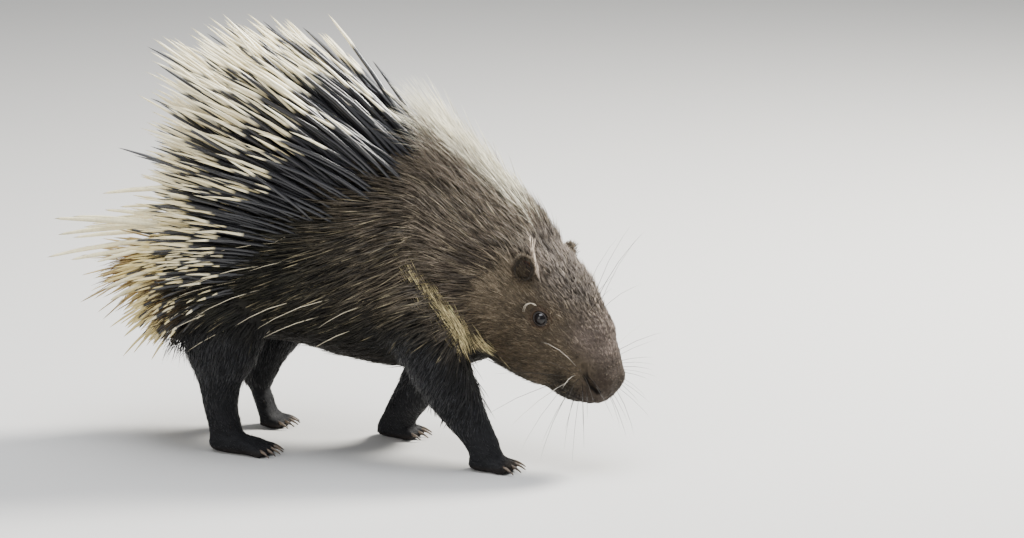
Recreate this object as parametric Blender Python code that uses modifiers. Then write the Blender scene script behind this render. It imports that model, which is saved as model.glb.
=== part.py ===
"""A Malayan porcupine, Hystrix brachyura, life size and still, walking with its nose held low.

The model stands on the floor, z = 0, facing +X with +Y on its own left. Lengths are metres.
Its body is one blended form, parted by thin cuts into the head, neck, torso, tail and legs.
"""

from math import cos, pi, radians, sin
from random import Random

import bmesh
import bpy
import numpy as np
from mathutils import Matrix, Vector
from mathutils.bvhtree import BVHTree

# Driving dimensions
GAP = 0.0003
BACK_HEIGHT = 0.337
BELLY_HEIGHT = 0.097
BODY_HALF_WIDTH = 0.102
HEAD_LENGTH = 0.150
HEAD_PITCH = radians(43)
HEAD_TURN = radians(-15)
HEAD_CENTRE = Vector((0.182, -0.0066, 0.200))
EYE_RADIUS = 0.0068
EYE_PLACE = Vector((0.0462, 0.0430, 0.0035))
EAR_PLACE = Vector((0.000, 0.0470, 0.024))
EAR_HEIGHT = 0.027
EAR_WIDTH = 0.023
EAR_DEPTH = 0.011
EAR_WALL = 0.0022
LID_THICKNESS = 0.0015
NOSTRIL_PLACE = (0.1275, -0.0060)
NOSTRIL_SIZE = (0.0120, 0.0030, 0.0017)
NOSTRIL_SLANT = radians(22)
NOSTRIL_TURN = radians(8)
MOUTH_RADIUS = 0.0013
TOE_RADIUS = 0.0068
CLAW_LENGTH = 0.014
CLAW_RADIUS = 0.0021
NECK_PLANE = (Vector((0.124, 0, 0.2175)), Vector((0.972, 0, 0.235)))
HEAD_PLANE = (Vector((-0.031, 0, -0.020)), Vector((1, 0, 0)))
BLEND_VOXEL = 0.006
HEAD_VOXEL = 0.0026
FOOT_VOXEL = 0.0018
BODY_TRIANGLES = 2300
HEAD_TRIANGLES = 1300
FOOT_TRIANGLES = 200

# Trunk stations from rump to neck: x, z, half width, rise above the line, drop below it
TRUNK = (
    (-0.232, 0.196, 0.018, 0.018, 0.018),
    (-0.218, 0.193, 0.048, 0.040, 0.040),
    (-0.195, 0.190, 0.072, 0.055, 0.052),
    (-0.155, 0.196, 0.090, 0.076, 0.078),
    (-0.100, 0.208, 0.100, 0.098, 0.094),
    (-0.040, 0.216, BODY_HALF_WIDTH, 0.113, 0.112),
    (0.030, 0.217, 0.097, BACK_HEIGHT - 0.217, 0.217 - BELLY_HEIGHT),
    (0.090, 0.208, 0.086, 0.110, 0.112),
    (0.140, 0.196, 0.072, 0.092, 0.090),
    (0.172, 0.186, 0.058, 0.074, 0.076),
    (0.190, 0.178, 0.040, 0.050, 0.050),
)

# Head stations in the head's own frame: distance forward, half width, top, bottom
HEAD = (
    (-0.050, 0.034, 0.016, -0.070),
    (-0.030, 0.047, 0.034, -0.088),
    (0.000, 0.0545, 0.0495, -0.098),
    (0.035, 0.0525, 0.0535, -0.094),
    (0.062, 0.0465, 0.0500, -0.086),
    (0.086, 0.0410, 0.0440, -0.075),
    (0.106, 0.0360, 0.0355, -0.067),
    (0.124, 0.0315, 0.0275, -0.056),
    (0.137, 0.0270, 0.0190, -0.043),
    (0.146, 0.0195, 0.0100, -0.029),
    (HEAD_LENGTH, 0.0090, 0.0010, -0.018),
)

# Leg stations from the body down to the ankle: x, distance from the middle, z, half width,
# reach ahead of the line and behind it. Heel, ball and toes follow in feet.
LEGS = {
    "right_fore": (
        (0.058, 0.058, 0.215, 0.030, 0.044, 0.044),
        (0.078, 0.068, 0.155, 0.034, 0.042, 0.042),
        (0.097, 0.067, 0.105, 0.028, 0.033, 0.033),
        (0.121, 0.065, 0.062, 0.022, 0.026, 0.026),
        (0.143, 0.064, 0.026, 0.020, 0.021, 0.020),
        (0.147, 0.064, 0.014, 0.018, 0.019, 0.018),
    ),
    "left_fore": (
        (0.050, 0.058, 0.215, 0.030, 0.044, 0.044),
        (0.054, 0.067, 0.155, 0.034, 0.041, 0.041),
        (0.048, 0.064, 0.105, 0.028, 0.032, 0.032),
        (0.026, 0.060, 0.062, 0.022, 0.025, 0.025),
        (0.003, 0.058, 0.026, 0.020, 0.020, 0.020),
        (-0.003, 0.058, 0.014, 0.018, 0.019, 0.018),
    ),
    "right_hind": (
        (-0.150, 0.056, 0.215, 0.036, 0.056, 0.052),
        (-0.154, 0.070, 0.160, 0.038, 0.054, 0.052),
        (-0.158, 0.074, 0.113, 0.032, 0.042, 0.042),
        (-0.162, 0.071, 0.080, 0.025, 0.028, 0.026),
        (-0.162, 0.068, 0.050, 0.020, 0.021, 0.021),
        (-0.157, 0.066, 0.022, 0.019, 0.021, 0.020),
    ),
    "left_hind": (
        (-0.146, 0.056, 0.215, 0.036, 0.056, 0.052),
        (-0.146, 0.070, 0.160, 0.038, 0.052, 0.052),
        (-0.148, 0.074, 0.120, 0.032, 0.037, 0.038),
        (-0.158, 0.070, 0.090, 0.025, 0.026, 0.026),
        (-0.168, 0.066, 0.064, 0.020, 0.022, 0.021),
        (-0.168, 0.065, 0.048, 0.018, 0.019, 0.018),
    ),
}

# The box that parts each leg: x from, x to. Its top slopes up and outwards from the belly.
LEG_BOX_INNER = 0.030
LEG_BOX_OUTER = 0.150
LEG_BOX_TOP = 0.100
LEG_BOX_SLOPE = 0.51
LEG_BOX = {
    "right_fore": (0.030, 0.215),
    "left_fore": (-0.060, 0.112),
    "right_hind": (-0.235, -0.075),
    "left_hind": (-0.235, -0.075),
}

# Feet: height of the ankle cut, heel, ball, half width, toes and how far they turn out
FEET = {
    "right_fore": dict(cut=0.027, heel=(0.131, -0.064, 0.013), ball=(0.158, -0.063, 0.009),
                       width=0.0195, toes=4, reach=0.020, turn=-4),
    "left_fore": dict(cut=0.027, heel=(-0.018, 0.058, 0.014), ball=(0.008, 0.058, 0.009),
                      width=0.0195, toes=4, reach=0.020, turn=4),
    "right_hind": dict(cut=0.036, heel=(-0.168, -0.066, 0.013), ball=(-0.122, -0.069, 0.009),
                       width=0.0205, toes=5, reach=0.021, turn=-7),
    "left_hind": dict(cut=0.052, heel=(-0.170, 0.065, 0.050), ball=(-0.155, 0.066, 0.009),
                      width=0.0195, toes=5, reach=0.021, turn=7),
}

TAIL = ((-0.205, 0.197, 0.026), (-0.235, 0.196, 0.023), (-0.262, 0.192, 0.018), (-0.282, 0.187, 0.009))

# The spines and locks, in the order they grow: how many, how far apart, length, greatest
# half width and half thickness, how far the root is sunk, how far they bend by the tip,
# whether they curl back to the body, and the stations of their girth
QUILL_SHAPE = ((-0.05, 0.65), (0.45, 1.0))
LOCK_SHAPE = ((-0.10, 0.75), (0.28, 1.0), (0.72, 0.74))
GROWTH = {
    "quill": dict(count=236, apart=0.0130, length=0.214, width=0.0023, depth=0.0023, sunk=0.010,
                  bend=radians(18), curls=False, shape=QUILL_SHAPE, sides=3),
    "bristle": dict(count=78, apart=0.021, length=0.066, width=0.0120, depth=0.0013, sunk=0.006,
                    bend=radians(16), curls=True, shape=LOCK_SHAPE, sides=4),
    "crest": dict(count=40, apart=0.0090, length=0.124, width=0.0046, depth=0.0013, sunk=0.007,
                  bend=radians(24), curls=False, shape=LOCK_SHAPE, sides=4),
    "ruff": dict(count=16, apart=0.014, length=0.052, width=0.0105, depth=0.0012, sunk=0.006,
                 bend=radians(14), curls=True, shape=LOCK_SHAPE, sides=4),
    "tail": dict(count=34, apart=0.0065, length=0.085, width=0.0022, depth=0.0022, sunk=0.005,
                 bend=radians(8), curls=False, shape=QUILL_SHAPE, sides=3),
}
SPINE_CLEARANCE = 0.0008
SEED = 11


def clear_scene():
    """Removes the objects that the file opens with."""
    for obj in list(bpy.data.objects):
        bpy.data.objects.remove(obj)


def add_collection(name):
    """A new collection in the scene."""
    collection = bpy.data.collections.new(name)
    bpy.context.scene.collection.children.link(collection)
    return collection


def material(name, colour, roughness):
    """A plain Principled material."""
    made = bpy.data.materials.new(name)
    made.use_nodes = True
    shader = made.node_tree.nodes["Principled BSDF"]
    shader.inputs["Base Color"].default_value = (*colour, 1)
    shader.inputs["Roughness"].default_value = roughness
    shader.inputs["Metallic"].default_value = 0
    return made


def add_object(name, mesh, collection, finish=None):
    """An object of a bmesh, which it frees."""
    data = bpy.data.meshes.new(name)
    mesh.to_mesh(data)
    mesh.free()
    if finish:
        data.materials.append(finish)
    obj = bpy.data.objects.new(name, data)
    collection.objects.link(obj)
    return obj


def copy_of(obj, name, collection, finish=None):
    """A copy of an object with a mesh and a finish of its own."""
    mesh = bmesh.new()
    mesh.from_mesh(obj.data)
    return add_object(name, mesh, collection, finish)


def apply_modifiers(obj):
    """Makes an object's evaluated mesh its own."""
    graph = bpy.context.evaluated_depsgraph_get()
    mesh = bpy.data.meshes.new_from_object(obj.evaluated_get(graph))
    obj.modifiers.clear()
    obj.data = mesh


def eased(rows, steps):
    """Rows of numbers with steps points for each pair, on a Catmull-Rom curve."""
    rows = [np.array(row, float) for row in rows]
    ends = [2 * rows[0] - rows[1], *rows, 2 * rows[-1] - rows[-2]]
    found = []
    for a, b, c, d in zip(ends, ends[1:], ends[2:], ends[3:]):
        for t in np.arange(steps) / steps:
            bend = 2 * a - 5 * b + 4 * c - d
            swing = 3 * b - a - 3 * c + d
            found.append((2 * b + (c - a) * t + bend * t ** 2 + swing * t ** 3) / 2)
    return [*found, rows[-1]]


def loft(stations, side=Vector((0, 1, 0)), sides=20, pointed=False):
    """A closed tube through stations of centre, half width, and reach above and below it.

    For a tube that runs down, above is ahead, towards +X.
    """
    mesh = bmesh.new()
    centres = [Vector(station[0]) for station in stations]
    last = len(centres) - 1
    rings = []
    for i, (centre, width, rise, drop) in enumerate(stations):
        along = (centres[min(i + 1, last)] - centres[max(i - 1, 0)]).normalized()
        across = (side - side.dot(along) * along).normalized()
        up = along.cross(across)
        ring = bmesh.ops.create_circle(mesh, segments=sides, radius=1)["verts"]
        for vert in ring:
            x, y = vert.co.x, vert.co.y
            vert.co = Vector(centre) + across * (x * width) + up * (y * (rise if y > 0 else drop))
        rings.append(ring)
    loops = [list({edge for vert in ring for edge in vert.link_edges}) for ring in rings]
    for near, far in zip(loops, loops[1:]):
        bmesh.ops.bridge_loops(mesh, edges=near + far)
    bmesh.ops.edgeloop_fill(mesh, edges=loops[0])
    if pointed:
        bmesh.ops.pointmerge(mesh, verts=rings[-1], merge_co=centres[-1])
    else:
        bmesh.ops.edgeloop_fill(mesh, edges=loops[-1])
    face_out(mesh)
    return mesh


def face_out(mesh):
    """Points every face outwards."""
    mesh.normal_update()
    bmesh.ops.recalc_face_normals(mesh, faces=mesh.faces)


def join(forms):
    """Several bmeshes in one."""
    joined = bmesh.new()
    for form in forms:
        data = bpy.data.meshes.new("form")
        form.to_mesh(data)
        form.free()
        joined.from_mesh(data)
        bpy.data.meshes.remove(data)
    return joined


def remesh(obj, voxel, passes, triangles):
    """Flows an object's shapes into one skin of about so many triangles."""
    flow = obj.modifiers.new("flow", "REMESH")
    flow.mode = "VOXEL"
    flow.voxel_size = voxel
    soften = obj.modifiers.new("soften", "SMOOTH")
    soften.factor = 0.5
    soften.iterations = passes
    apply_modifiers(obj)
    count = sum(len(face.vertices) - 2 for face in obj.data.polygons)
    thin = obj.modifiers.new("thin", "DECIMATE")
    thin.ratio = min(1, triangles / count)
    thin.use_collapse_triangulate = True
    apply_modifiers(obj)


def boolean(obj, other, operation):
    """Cuts or joins an object with another, then removes the other."""
    cut = obj.modifiers.new("cut", "BOOLEAN")
    cut.operation = operation
    cut.object = other
    cut.solver = "EXACT"
    apply_modifiers(obj)
    bpy.data.objects.remove(other)


def keep_side(obj, point, normal):
    """Cuts an object flat at a plane and keeps what lies on the normal's side."""
    mesh = bmesh.new()
    mesh.from_mesh(obj.data)
    cut = bmesh.ops.bisect_plane(mesh, geom=[*mesh.verts, *mesh.edges, *mesh.faces], dist=1e-6,
                                 plane_co=point, plane_no=normal, clear_inner=True)
    rim = [edge for edge in cut["geom_cut"] if isinstance(edge, bmesh.types.BMEdge)]
    bmesh.ops.triangle_fill(mesh, edges=rim, use_beauty=True)
    face_out(mesh)
    mesh.to_mesh(obj.data)
    mesh.free()


def grown(obj, name, collection, distance=GAP):
    """A copy of an object whose surface stands out by a distance."""
    swollen = copy_of(obj, name, collection)
    swell = swollen.modifiers.new("swell", "DISPLACE")
    swell.strength = distance
    swell.mid_level = 0
    apply_modifiers(swollen)
    return swollen


def keep_largest(obj):
    """Drops every loose scrap, so that one closed surface is left."""
    mesh = bmesh.new()
    mesh.from_mesh(obj.data)
    left = set(mesh.verts)
    groups = []
    while left:
        front = [left.pop()]
        group = set(front)
        while front:
            for edge in front.pop().link_edges:
                for vert in edge.verts:
                    if vert in left:
                        left.discard(vert)
                        group.add(vert)
                        front.append(vert)
        groups.append(group)
    groups.sort(key=len)
    for group in groups[:-1]:
        bmesh.ops.delete(mesh, geom=list(group), context="VERTS")
    mesh.to_mesh(obj.data)
    mesh.free()


def head_matrix():
    """The head's own frame: x along the snout, y to its left, z to the forehead."""
    turn = Matrix.Rotation(HEAD_TURN, 4, "Z") @ Matrix.Rotation(HEAD_PITCH, 4, "Y")
    return Matrix.Translation(HEAD_CENTRE) @ turn


def head_plane():
    """The cut behind the head: a point on it and the way it faces."""
    point, normal = HEAD_PLANE
    return head_matrix() @ point, head_matrix().to_3x3() @ normal


def trunk_form():
    """The barrel of the body, from the rump to the base of the head."""
    rows = eased(TRUNK, 3)
    return loft([((x, 0, z), width, rise, drop) for x, z, width, rise, drop in rows], sides=24)


def skull_narrowing(z):
    """How much narrower the skull is at a height above the cheeks than at them."""
    return 1 - 0.16 * max(0, (z + 0.02) / 0.07) ** 2


def head_form():
    """The wedge of the head, deep at the jaw and blunt at the nose."""
    stations = []
    for x, width, top, bottom in eased(HEAD, 3):
        half = (top - bottom) / 2
        stations.append(((x, 0, bottom + half), width, half, half))
    mesh = loft(stations, sides=24)
    for vert in mesh.verts:
        vert.co.y *= skull_narrowing(vert.co.z)
    mesh.transform(head_matrix())
    return mesh


def leg_form(name):
    """A leg's tube, from inside the body to the ankle."""
    hand = -1 if name.startswith("right") else 1
    rows = eased(LEGS[name], 3)
    return loft([((x, hand * y, z), width, front, back) for x, y, z, width, front, back in rows], sides=16)


def flat_box(low, high):
    """A plain box between two corners."""
    mesh = bmesh.new()
    bmesh.ops.create_cube(mesh, size=1)
    size = Vector(high) - Vector(low)
    mesh.transform(Matrix.Translation((Vector(low) + Vector(high)) / 2) @ Matrix.Diagonal((*size, 1)))
    return mesh


def leg_box(name, margin):
    """The box that parts a leg from the body, grown by a margin."""
    hand = -1 if name.startswith("right") else 1
    near, far = LEG_BOX[name]
    inner = LEG_BOX_INNER - margin
    box = flat_box((near - margin, inner, -LEG_BOX_TOP), (far + margin, LEG_BOX_OUTER, LEG_BOX_TOP + margin))
    for vert in box.verts:
        if vert.co.z > 0:
            vert.co.z += (vert.co.y - inner) * LEG_BOX_SLOPE
        vert.co.y *= hand
    face_out(box)
    return box


def toe_rows(foot):
    """Each toe's root, tip and turn, across the ball of a foot."""
    ball = Vector(foot["ball"])
    rows = []
    for k in range(foot["toes"]):
        across = (k - (foot["toes"] - 1) / 2) / ((foot["toes"] - 1) / 2)
        turn = radians(foot["turn"] + across * 13)
        ahead = Vector((cos(turn), sin(turn), 0))
        reach = foot["reach"] * (1 - 0.22 * across ** 2)
        root = ball + Vector((0, across * foot["width"] * 0.74, 0))
        rows.append((root, ahead, reach))
    return rows


def foot_form(name):
    """The sole, toe pads and ankle of a foot, before its claws."""
    foot = FEET[name]
    heel = Vector(foot["heel"])
    ball = Vector(foot["ball"])
    width = foot["width"]
    middle = heel.lerp(ball, 0.5)
    sole = loft([(heel + (heel - ball) * 0.15, width * 0.45, 0.009, 0.009),
                 (heel, width * 0.78, 0.013, 0.013),
                 (middle, width * 0.90, 0.0125, 0.0125),
                 (ball, width * 0.98, 0.0105, 0.0105),
                 (ball + Vector((0.008, 0, -0.001)), width * 0.86, 0.008, 0.008)], sides=16)
    forms = [sole, leg_form(name)]
    for root, ahead, reach in toe_rows(foot):
        knuckle = root + ahead * reach * 0.5
        knuckle.z = TOE_RADIUS * 0.88
        pad = root + ahead * reach
        pad.z = TOE_RADIUS * 0.82
        forms.append(loft([(root - ahead * 0.008, TOE_RADIUS * 0.74, TOE_RADIUS, TOE_RADIUS),
                           (knuckle, TOE_RADIUS * 0.74, TOE_RADIUS, TOE_RADIUS),
                           (pad, TOE_RADIUS * 0.64, TOE_RADIUS * 0.9, TOE_RADIUS * 0.8),
                           (pad + ahead * 0.003, TOE_RADIUS * 0.34, TOE_RADIUS * 0.5, TOE_RADIUS * 0.4)],
                          side=Vector((-ahead.y, ahead.x, 0)), sides=10))
    return join(forms)


def claw_form(root, ahead, reach):
    """A blunt digging claw, curving down to just above the floor."""
    tip = (root + ahead * reach).xy.to_3d()
    stations = []
    for t in (0, 0.5, 1):
        centre = tip + ahead * (CLAW_LENGTH * t - 0.003) + Vector((0, 0, 0.0080 - 0.0058 * t ** 2))
        radius = CLAW_RADIUS * (1 - 0.6 * t)
        stations.append((centre, radius * 0.8, radius, radius))
    return loft(stations, side=Vector((-ahead.y, ahead.x, 0)), sides=5)


def build_feet_and_legs(body, parts, scratch, skin, paw):
    """Parts the legs from the body and stands each on a foot with flat pads."""
    for name, foot in FEET.items():
        cut = foot["cut"]
        leg = copy_of(body, f"{name}_leg", parts, skin)
        boolean(leg, add_object("box", leg_box(name, 0), scratch), "INTERSECT")
        keep_side(leg, Vector((0, 0, cut + GAP)), Vector((0, 0, 1)))
        keep_largest(leg)

        sole = add_object(f"{name}_foot", foot_form(name), parts, paw)
        remesh(sole, FOOT_VOXEL, 3, FOOT_TRIANGLES)
        keep_side(sole, Vector((0, 0, 0)), Vector((0, 0, 1)))
        keep_side(sole, Vector((0, 0, cut)), Vector((0, 0, -1)))
        for row in toe_rows(foot):
            boolean(sole, add_object("claw", claw_form(*row), scratch), "UNION")
        keep_largest(sole)
        sole.data.materials.clear()
        sole.data.materials.append(paw)
    for name in FEET:
        boolean(body, add_object("box", leg_box(name, GAP), scratch), "DIFFERENCE")


def head_point(x, y, z):
    """A place given in the head's own frame."""
    return head_matrix() @ Vector((x, y, z))


def cheek(x, z):
    """The head's half width at a distance forward and a height, in its own frame."""
    stations = np.array(HEAD).T
    width, top, bottom = (np.interp(x, stations[0], row) for row in stations[1:])
    level = (2 * z - top - bottom) / (top - bottom)
    return float(width * np.sqrt(max(0, 1 - level ** 2)) * skull_narrowing(z))


def lid_ring(hand):
    """The rim of an eye's lids, an almond ring on the cheek."""
    middle = Vector((EYE_PLACE.x, EYE_PLACE.y * hand, EYE_PLACE.z))
    outward = Vector((0.12, hand, 0.12)).normalized()
    along = Vector((0, 0, 1)).cross(outward).normalized()
    up = outward.cross(along)
    mesh = bmesh.new()
    section = bmesh.ops.create_circle(mesh, segments=5, radius=LID_THICKNESS)["verts"]
    for vert in section:
        vert.co = Vector((EYE_RADIUS * 0.92 + vert.co.x, 0, vert.co.y))
    bmesh.ops.spin(mesh, geom=[*mesh.verts, *mesh.edges], cent=(0, 0, 0), axis=(0, 0, 1), angle=2 * pi,
                   steps=14, use_merge=True)
    for vert in mesh.verts:
        x, y, z = vert.co
        vert.co = middle + along * (x * 1.12) + up * (y * 0.88) + outward * (z + EYE_RADIUS * 0.55)
    mesh.transform(head_matrix())
    face_out(mesh)
    return mesh


def eye_form(hand, margin=0):
    """An eyeball, or the socket round it with a margin."""
    mesh = bmesh.new()
    bmesh.ops.create_uvsphere(mesh, u_segments=12, v_segments=8, radius=EYE_RADIUS + margin)
    mesh.transform(Matrix.Translation(head_point(EYE_PLACE.x, EYE_PLACE.y * hand, EYE_PLACE.z)))
    return mesh


def lip_path(across, raised, sunk):
    """A place beside the mouth: across runs from the right cheek, -1, to the left one, 1."""
    x = 0.1425 - 0.0425 * abs(across) ** 1.8
    z = -0.0360 - 0.0140 * abs(across) ** 1.5 + raised
    return head_point(x - sunk * (1 - abs(across)), np.sign(across) * max(0, cheek(x, z) - sunk), z)


def mouth_line():
    """A bent rod along the mouth, from cheek to cheek round the lip."""
    stations = [(lip_path(across, 0, 0), MOUTH_RADIUS, MOUTH_RADIUS, MOUTH_RADIUS)
                for across in np.linspace(-1, 1, 13)]
    return loft(stations, side=head_matrix().to_3x3() @ Vector((0.6, 0, -0.8)), sides=5)


def lip_form(hand, raised, radius):
    """The soft fold of a lip on one side of the mouth."""
    stations = []
    for across in np.linspace(0.12, 0.85, 7):
        girth = radius * (1 - 0.35 * across)
        stations.append((lip_path(across * hand, raised, girth * 0.62), girth, girth, girth))
    return loft(stations, side=head_matrix().to_3x3() @ Vector((0, 0, 1)), sides=8)


def nostril_form(hand):
    """A long slit on the side of the muzzle, slanting down behind the nose pad."""
    x, z = NOSTRIL_PLACE
    mesh = bmesh.new()
    bmesh.ops.create_uvsphere(mesh, u_segments=8, v_segments=5, radius=1)
    mesh.transform(Matrix.Diagonal((*NOSTRIL_SIZE, 1)))
    mesh.transform(Matrix.Rotation(NOSTRIL_SLANT, 4, "Y"))
    mesh.transform(Matrix.Rotation(-NOSTRIL_TURN * hand, 4, "Z"))
    mesh.transform(Matrix.Translation((x, cheek(x, z) * hand, z)))
    mesh.transform(head_matrix())
    return mesh


def ear_form(hand):
    """A small round ear, a dished shell that leans back against the head."""
    mesh = bmesh.new()
    bmesh.ops.create_uvsphere(mesh, u_segments=12, v_segments=8, radius=1)
    bmesh.ops.bisect_plane(mesh, geom=[*mesh.verts, *mesh.edges, *mesh.faces], plane_co=(0, 0, 0.08),
                           plane_no=(0, 0, 1), clear_outer=True)
    for vert in mesh.verts:
        x, y, z = vert.co
        vert.co = Vector((x * EAR_WIDTH / 2, y * EAR_HEIGHT / 2, z * EAR_DEPTH))
    mesh.normal_update()
    bmesh.ops.solidify(mesh, geom=mesh.faces, thickness=EAR_WALL)
    face_out(mesh)
    # The cup opens outwards, forwards and a little up.
    lean = Vector((0.42, hand * 0.86, 0.28)).normalized()
    upright = Vector((-0.50, hand * 0.30, 0.80))
    up = (upright - lean * upright.dot(lean)).normalized()
    turn = Matrix((up.cross(lean), up, lean)).transposed().to_4x4()
    middle = Vector((EAR_PLACE.x, EAR_PLACE.y * hand, EAR_PLACE.z)) + up * EAR_HEIGHT * 0.22
    mesh.transform(head_matrix() @ Matrix.Translation(middle) @ turn)
    return mesh


def build_head(parts, scratch, face, cornea):
    """The head with its lids, mouth, lips and nostrils, then the eyes and ears set in it."""
    head = add_object("head", join([head_form(), trunk_form()]), parts, face)
    remesh(head, HEAD_VOXEL, 6, HEAD_TRIANGLES * 3)
    point, normal = head_plane()
    keep_side(head, point, normal)
    keep_largest(head)
    for hand in (-1, 1):
        boolean(head, add_object("upper_lip", lip_form(hand, 0.0070, 0.0068), scratch), "UNION")
        boolean(head, add_object("lower_lip", lip_form(hand, -0.0042, 0.0045), scratch), "UNION")
    remesh(head, HEAD_VOXEL, 2, HEAD_TRIANGLES)
    keep_side(head, point + normal * GAP, normal)
    keep_side(head, NECK_PLANE[0] + NECK_PLANE[1] * GAP, NECK_PLANE[1])
    for hand in (-1, 1):
        boolean(head, add_object("lid", lid_ring(hand), scratch), "UNION")
        boolean(head, add_object("socket", eye_form(hand, GAP), scratch), "DIFFERENCE")
        boolean(head, add_object("nostril", nostril_form(hand), scratch), "DIFFERENCE")
    boolean(head, add_object("mouth", mouth_line(), scratch), "DIFFERENCE")
    keep_largest(head)
    head.data.materials.clear()
    head.data.materials.append(face)
    for hand, side in ((-1, "right"), (1, "left")):
        add_object(f"{side}_eye", eye_form(hand), parts, cornea)
        ear = add_object(f"{side}_ear", ear_form(hand), parts, face)
        boolean(ear, grown(head, "swollen_head", scratch), "DIFFERENCE")
        keep_largest(ear)


def tail_form():
    """The short tail, a blunt cone."""
    return loft([((x, 0, z), radius, radius, radius) for x, z, radius in eased(TAIL, 3)], sides=14)


def surface_points(obj, rng, tries=6000):
    """Places and outward directions spread at random over an object's surface."""
    mesh = obj.data
    mesh.calc_loop_triangles()
    corners = np.array([[mesh.vertices[i].co for i in tri.vertices] for tri in mesh.loop_triangles])
    normals = np.array([[mesh.vertices[i].normal for i in tri.vertices] for tri in mesh.loop_triangles])
    edges = corners[:, 1:] - corners[:, :1]
    shares = np.linalg.norm(np.cross(edges[:, 0], edges[:, 1]), axis=1).cumsum()
    for _ in range(tries):
        tri = min(int(np.searchsorted(shares, rng.random() * shares[-1])), len(shares) - 1)
        u, v = sorted((rng.random(), rng.random()))
        weights = np.array((u, v - u, 1 - v))
        yield Vector(weights @ corners[tri]), Vector(weights @ normals[tri]).normalized()


def quill_lie(point, normal):
    """How a quill leaves the back: raised over the shoulders, level at the rump, fanned sideways."""
    lift = radians(14 + 50 * (point.x + 0.10) + 380 * (point.z - 0.22))
    lift = max(radians(-14), min(radians(50), lift))
    return Vector((-cos(lift), normal.y * 0.40, sin(lift))).normalized()


def quill_length(point):
    """Full length along the back, shorter low on the flanks and at the rump."""
    height = max(0, min(1, (point.z - 0.16) / 0.14))
    rear = max(0, min(1, (point.x + 0.225) / 0.10))
    return (0.55 + 0.45 * height) * (0.80 + 0.20 * rear)


def bears_quills(point, normal):
    """The mantle: the back behind the shoulders, and the flanks above a line down to the rump."""
    return point.x < 0.078 and point.z > max(0.150, 0.150 + 0.62 * (point.x + 0.205))


def bears_bristles(point, normal):
    """The shoulders, flanks and haunches below the mantle, but not the belly or the rump's end."""
    low = point.z < 0.128 or normal.z < -0.35 or normal.x < -0.5
    return not low and not bears_quills(point, normal)


def bears_crest(point, normal):
    """The nape, from the withers to behind the ears."""
    return point.z > 0.238 and abs(point.y) < 0.046 and point.x < 0.193


def bears_ruff(point, normal):
    """The sides of the neck."""
    return 0.150 < point.z < 0.265 and normal.z > -0.5


def coat_lie(point, normal):
    """How the short coat lies: back along the body, turning down on the flanks."""
    lie = Vector((-1, 0, -0.22 - 0.25 * abs(normal.y)))
    lie = (lie - normal * lie.dot(normal)).normalized()
    return (lie + normal * 0.17).normalized()


def crest_lie(point, normal):
    """How the crest stands: up and back from the nape, parting a little sideways."""
    return Vector((-0.46, normal.y * 0.32, 0.89)).normalized()


def crest_length(point):
    """Long at the withers and short towards the head."""
    return max(0.26, min(1, 1 - (point.x - 0.105) / 0.135))


def full_length(point):
    """The same length all over."""
    return 1


def bears_rattle(point, normal):
    """The tail, clear of its root."""
    return point.x < -0.230


def tail_lie(point, normal):
    """The tail's rattle quills stand out round it like a brush."""
    return (Vector((-1, 0, -0.10)) + normal * 0.62).normalized()


def spine(kind, root, lie, normal, share, twist):
    """One tapered spine or flat lock from a sunk root, bent towards the body or the floor."""
    length = kind["length"] * share
    across = normal.cross(lie).normalized()
    across.rotate(Matrix.Rotation(twist, 3, lie))
    falls = -normal if kind["curls"] else Vector((0, 0, -1))
    turned = Matrix.Rotation(kind["bend"] / 2, 3, lie.cross(falls).normalized()) @ lie
    stations = []
    for along, girth in (*kind["shape"], (1.0, 0.0)):
        place = root + lie.lerp(turned, max(0, along)) * along * length
        if along < 0:
            place = root - normal * kind["sunk"] + lie * along * length
        half = kind["depth"] * max(girth, 0.2)
        stations.append((place, kind["width"] * max(girth, 0.2), half, half))
    return loft(stations, side=across, sides=kind["sides"], pointed=True)


def is_clear(mesh, trees):
    """Whether a piece touches none of the neighbours."""
    tree = BVHTree.FromBMesh(mesh)
    return not any(tree.overlap(other) for other in trees)


def grow(obj, name, lie, length, bears, neighbours, rng):
    """Sets spines or locks of one kind evenly over an object and fuses them with it."""
    kind = GROWTH[name]
    trees = [BVHTree.FromPolygons([vert.co + vert.normal * SPINE_CLEARANCE for vert in other.data.vertices],
                                  [face.vertices for face in other.data.polygons]) for other in neighbours]
    pieces = add_collection(name)
    taken = []
    for point, normal in surface_points(obj, rng):
        if len(taken) == kind["count"]:
            break
        if not bears(point, normal) or any((point - other).length < kind["apart"] for other in taken):
            continue
        sway = Matrix.Rotation(radians(rng.uniform(-4, 4)), 3, "Y") @ Matrix.Rotation(
            radians(rng.uniform(-4, 4)), 3, "Z")
        share = length(point) * rng.uniform(0.86, 1.06)
        twist = radians(rng.uniform(-14, 14))
        for shorter in (1, 0.8, 0.6):
            piece = spine(kind, point, sway @ lie(point, normal), normal, share * shorter, twist)
            if is_clear(piece, trees):
                add_object("spine", piece, pieces)
                taken.append(point)
                break
            piece.free()
    join_all(obj, pieces)


def join_all(obj, pieces):
    """Fuses a collection of closed pieces to an object in one Boolean and removes them."""
    fuse = obj.modifiers.new("fuse", "BOOLEAN")
    fuse.operation = "UNION"
    fuse.operand_type = "COLLECTION"
    fuse.collection = pieces
    fuse.solver = "MANIFOLD"
    apply_modifiers(obj)
    for piece in list(pieces.objects):
        bpy.data.objects.remove(piece)
    bpy.data.collections.remove(pieces)


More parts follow.
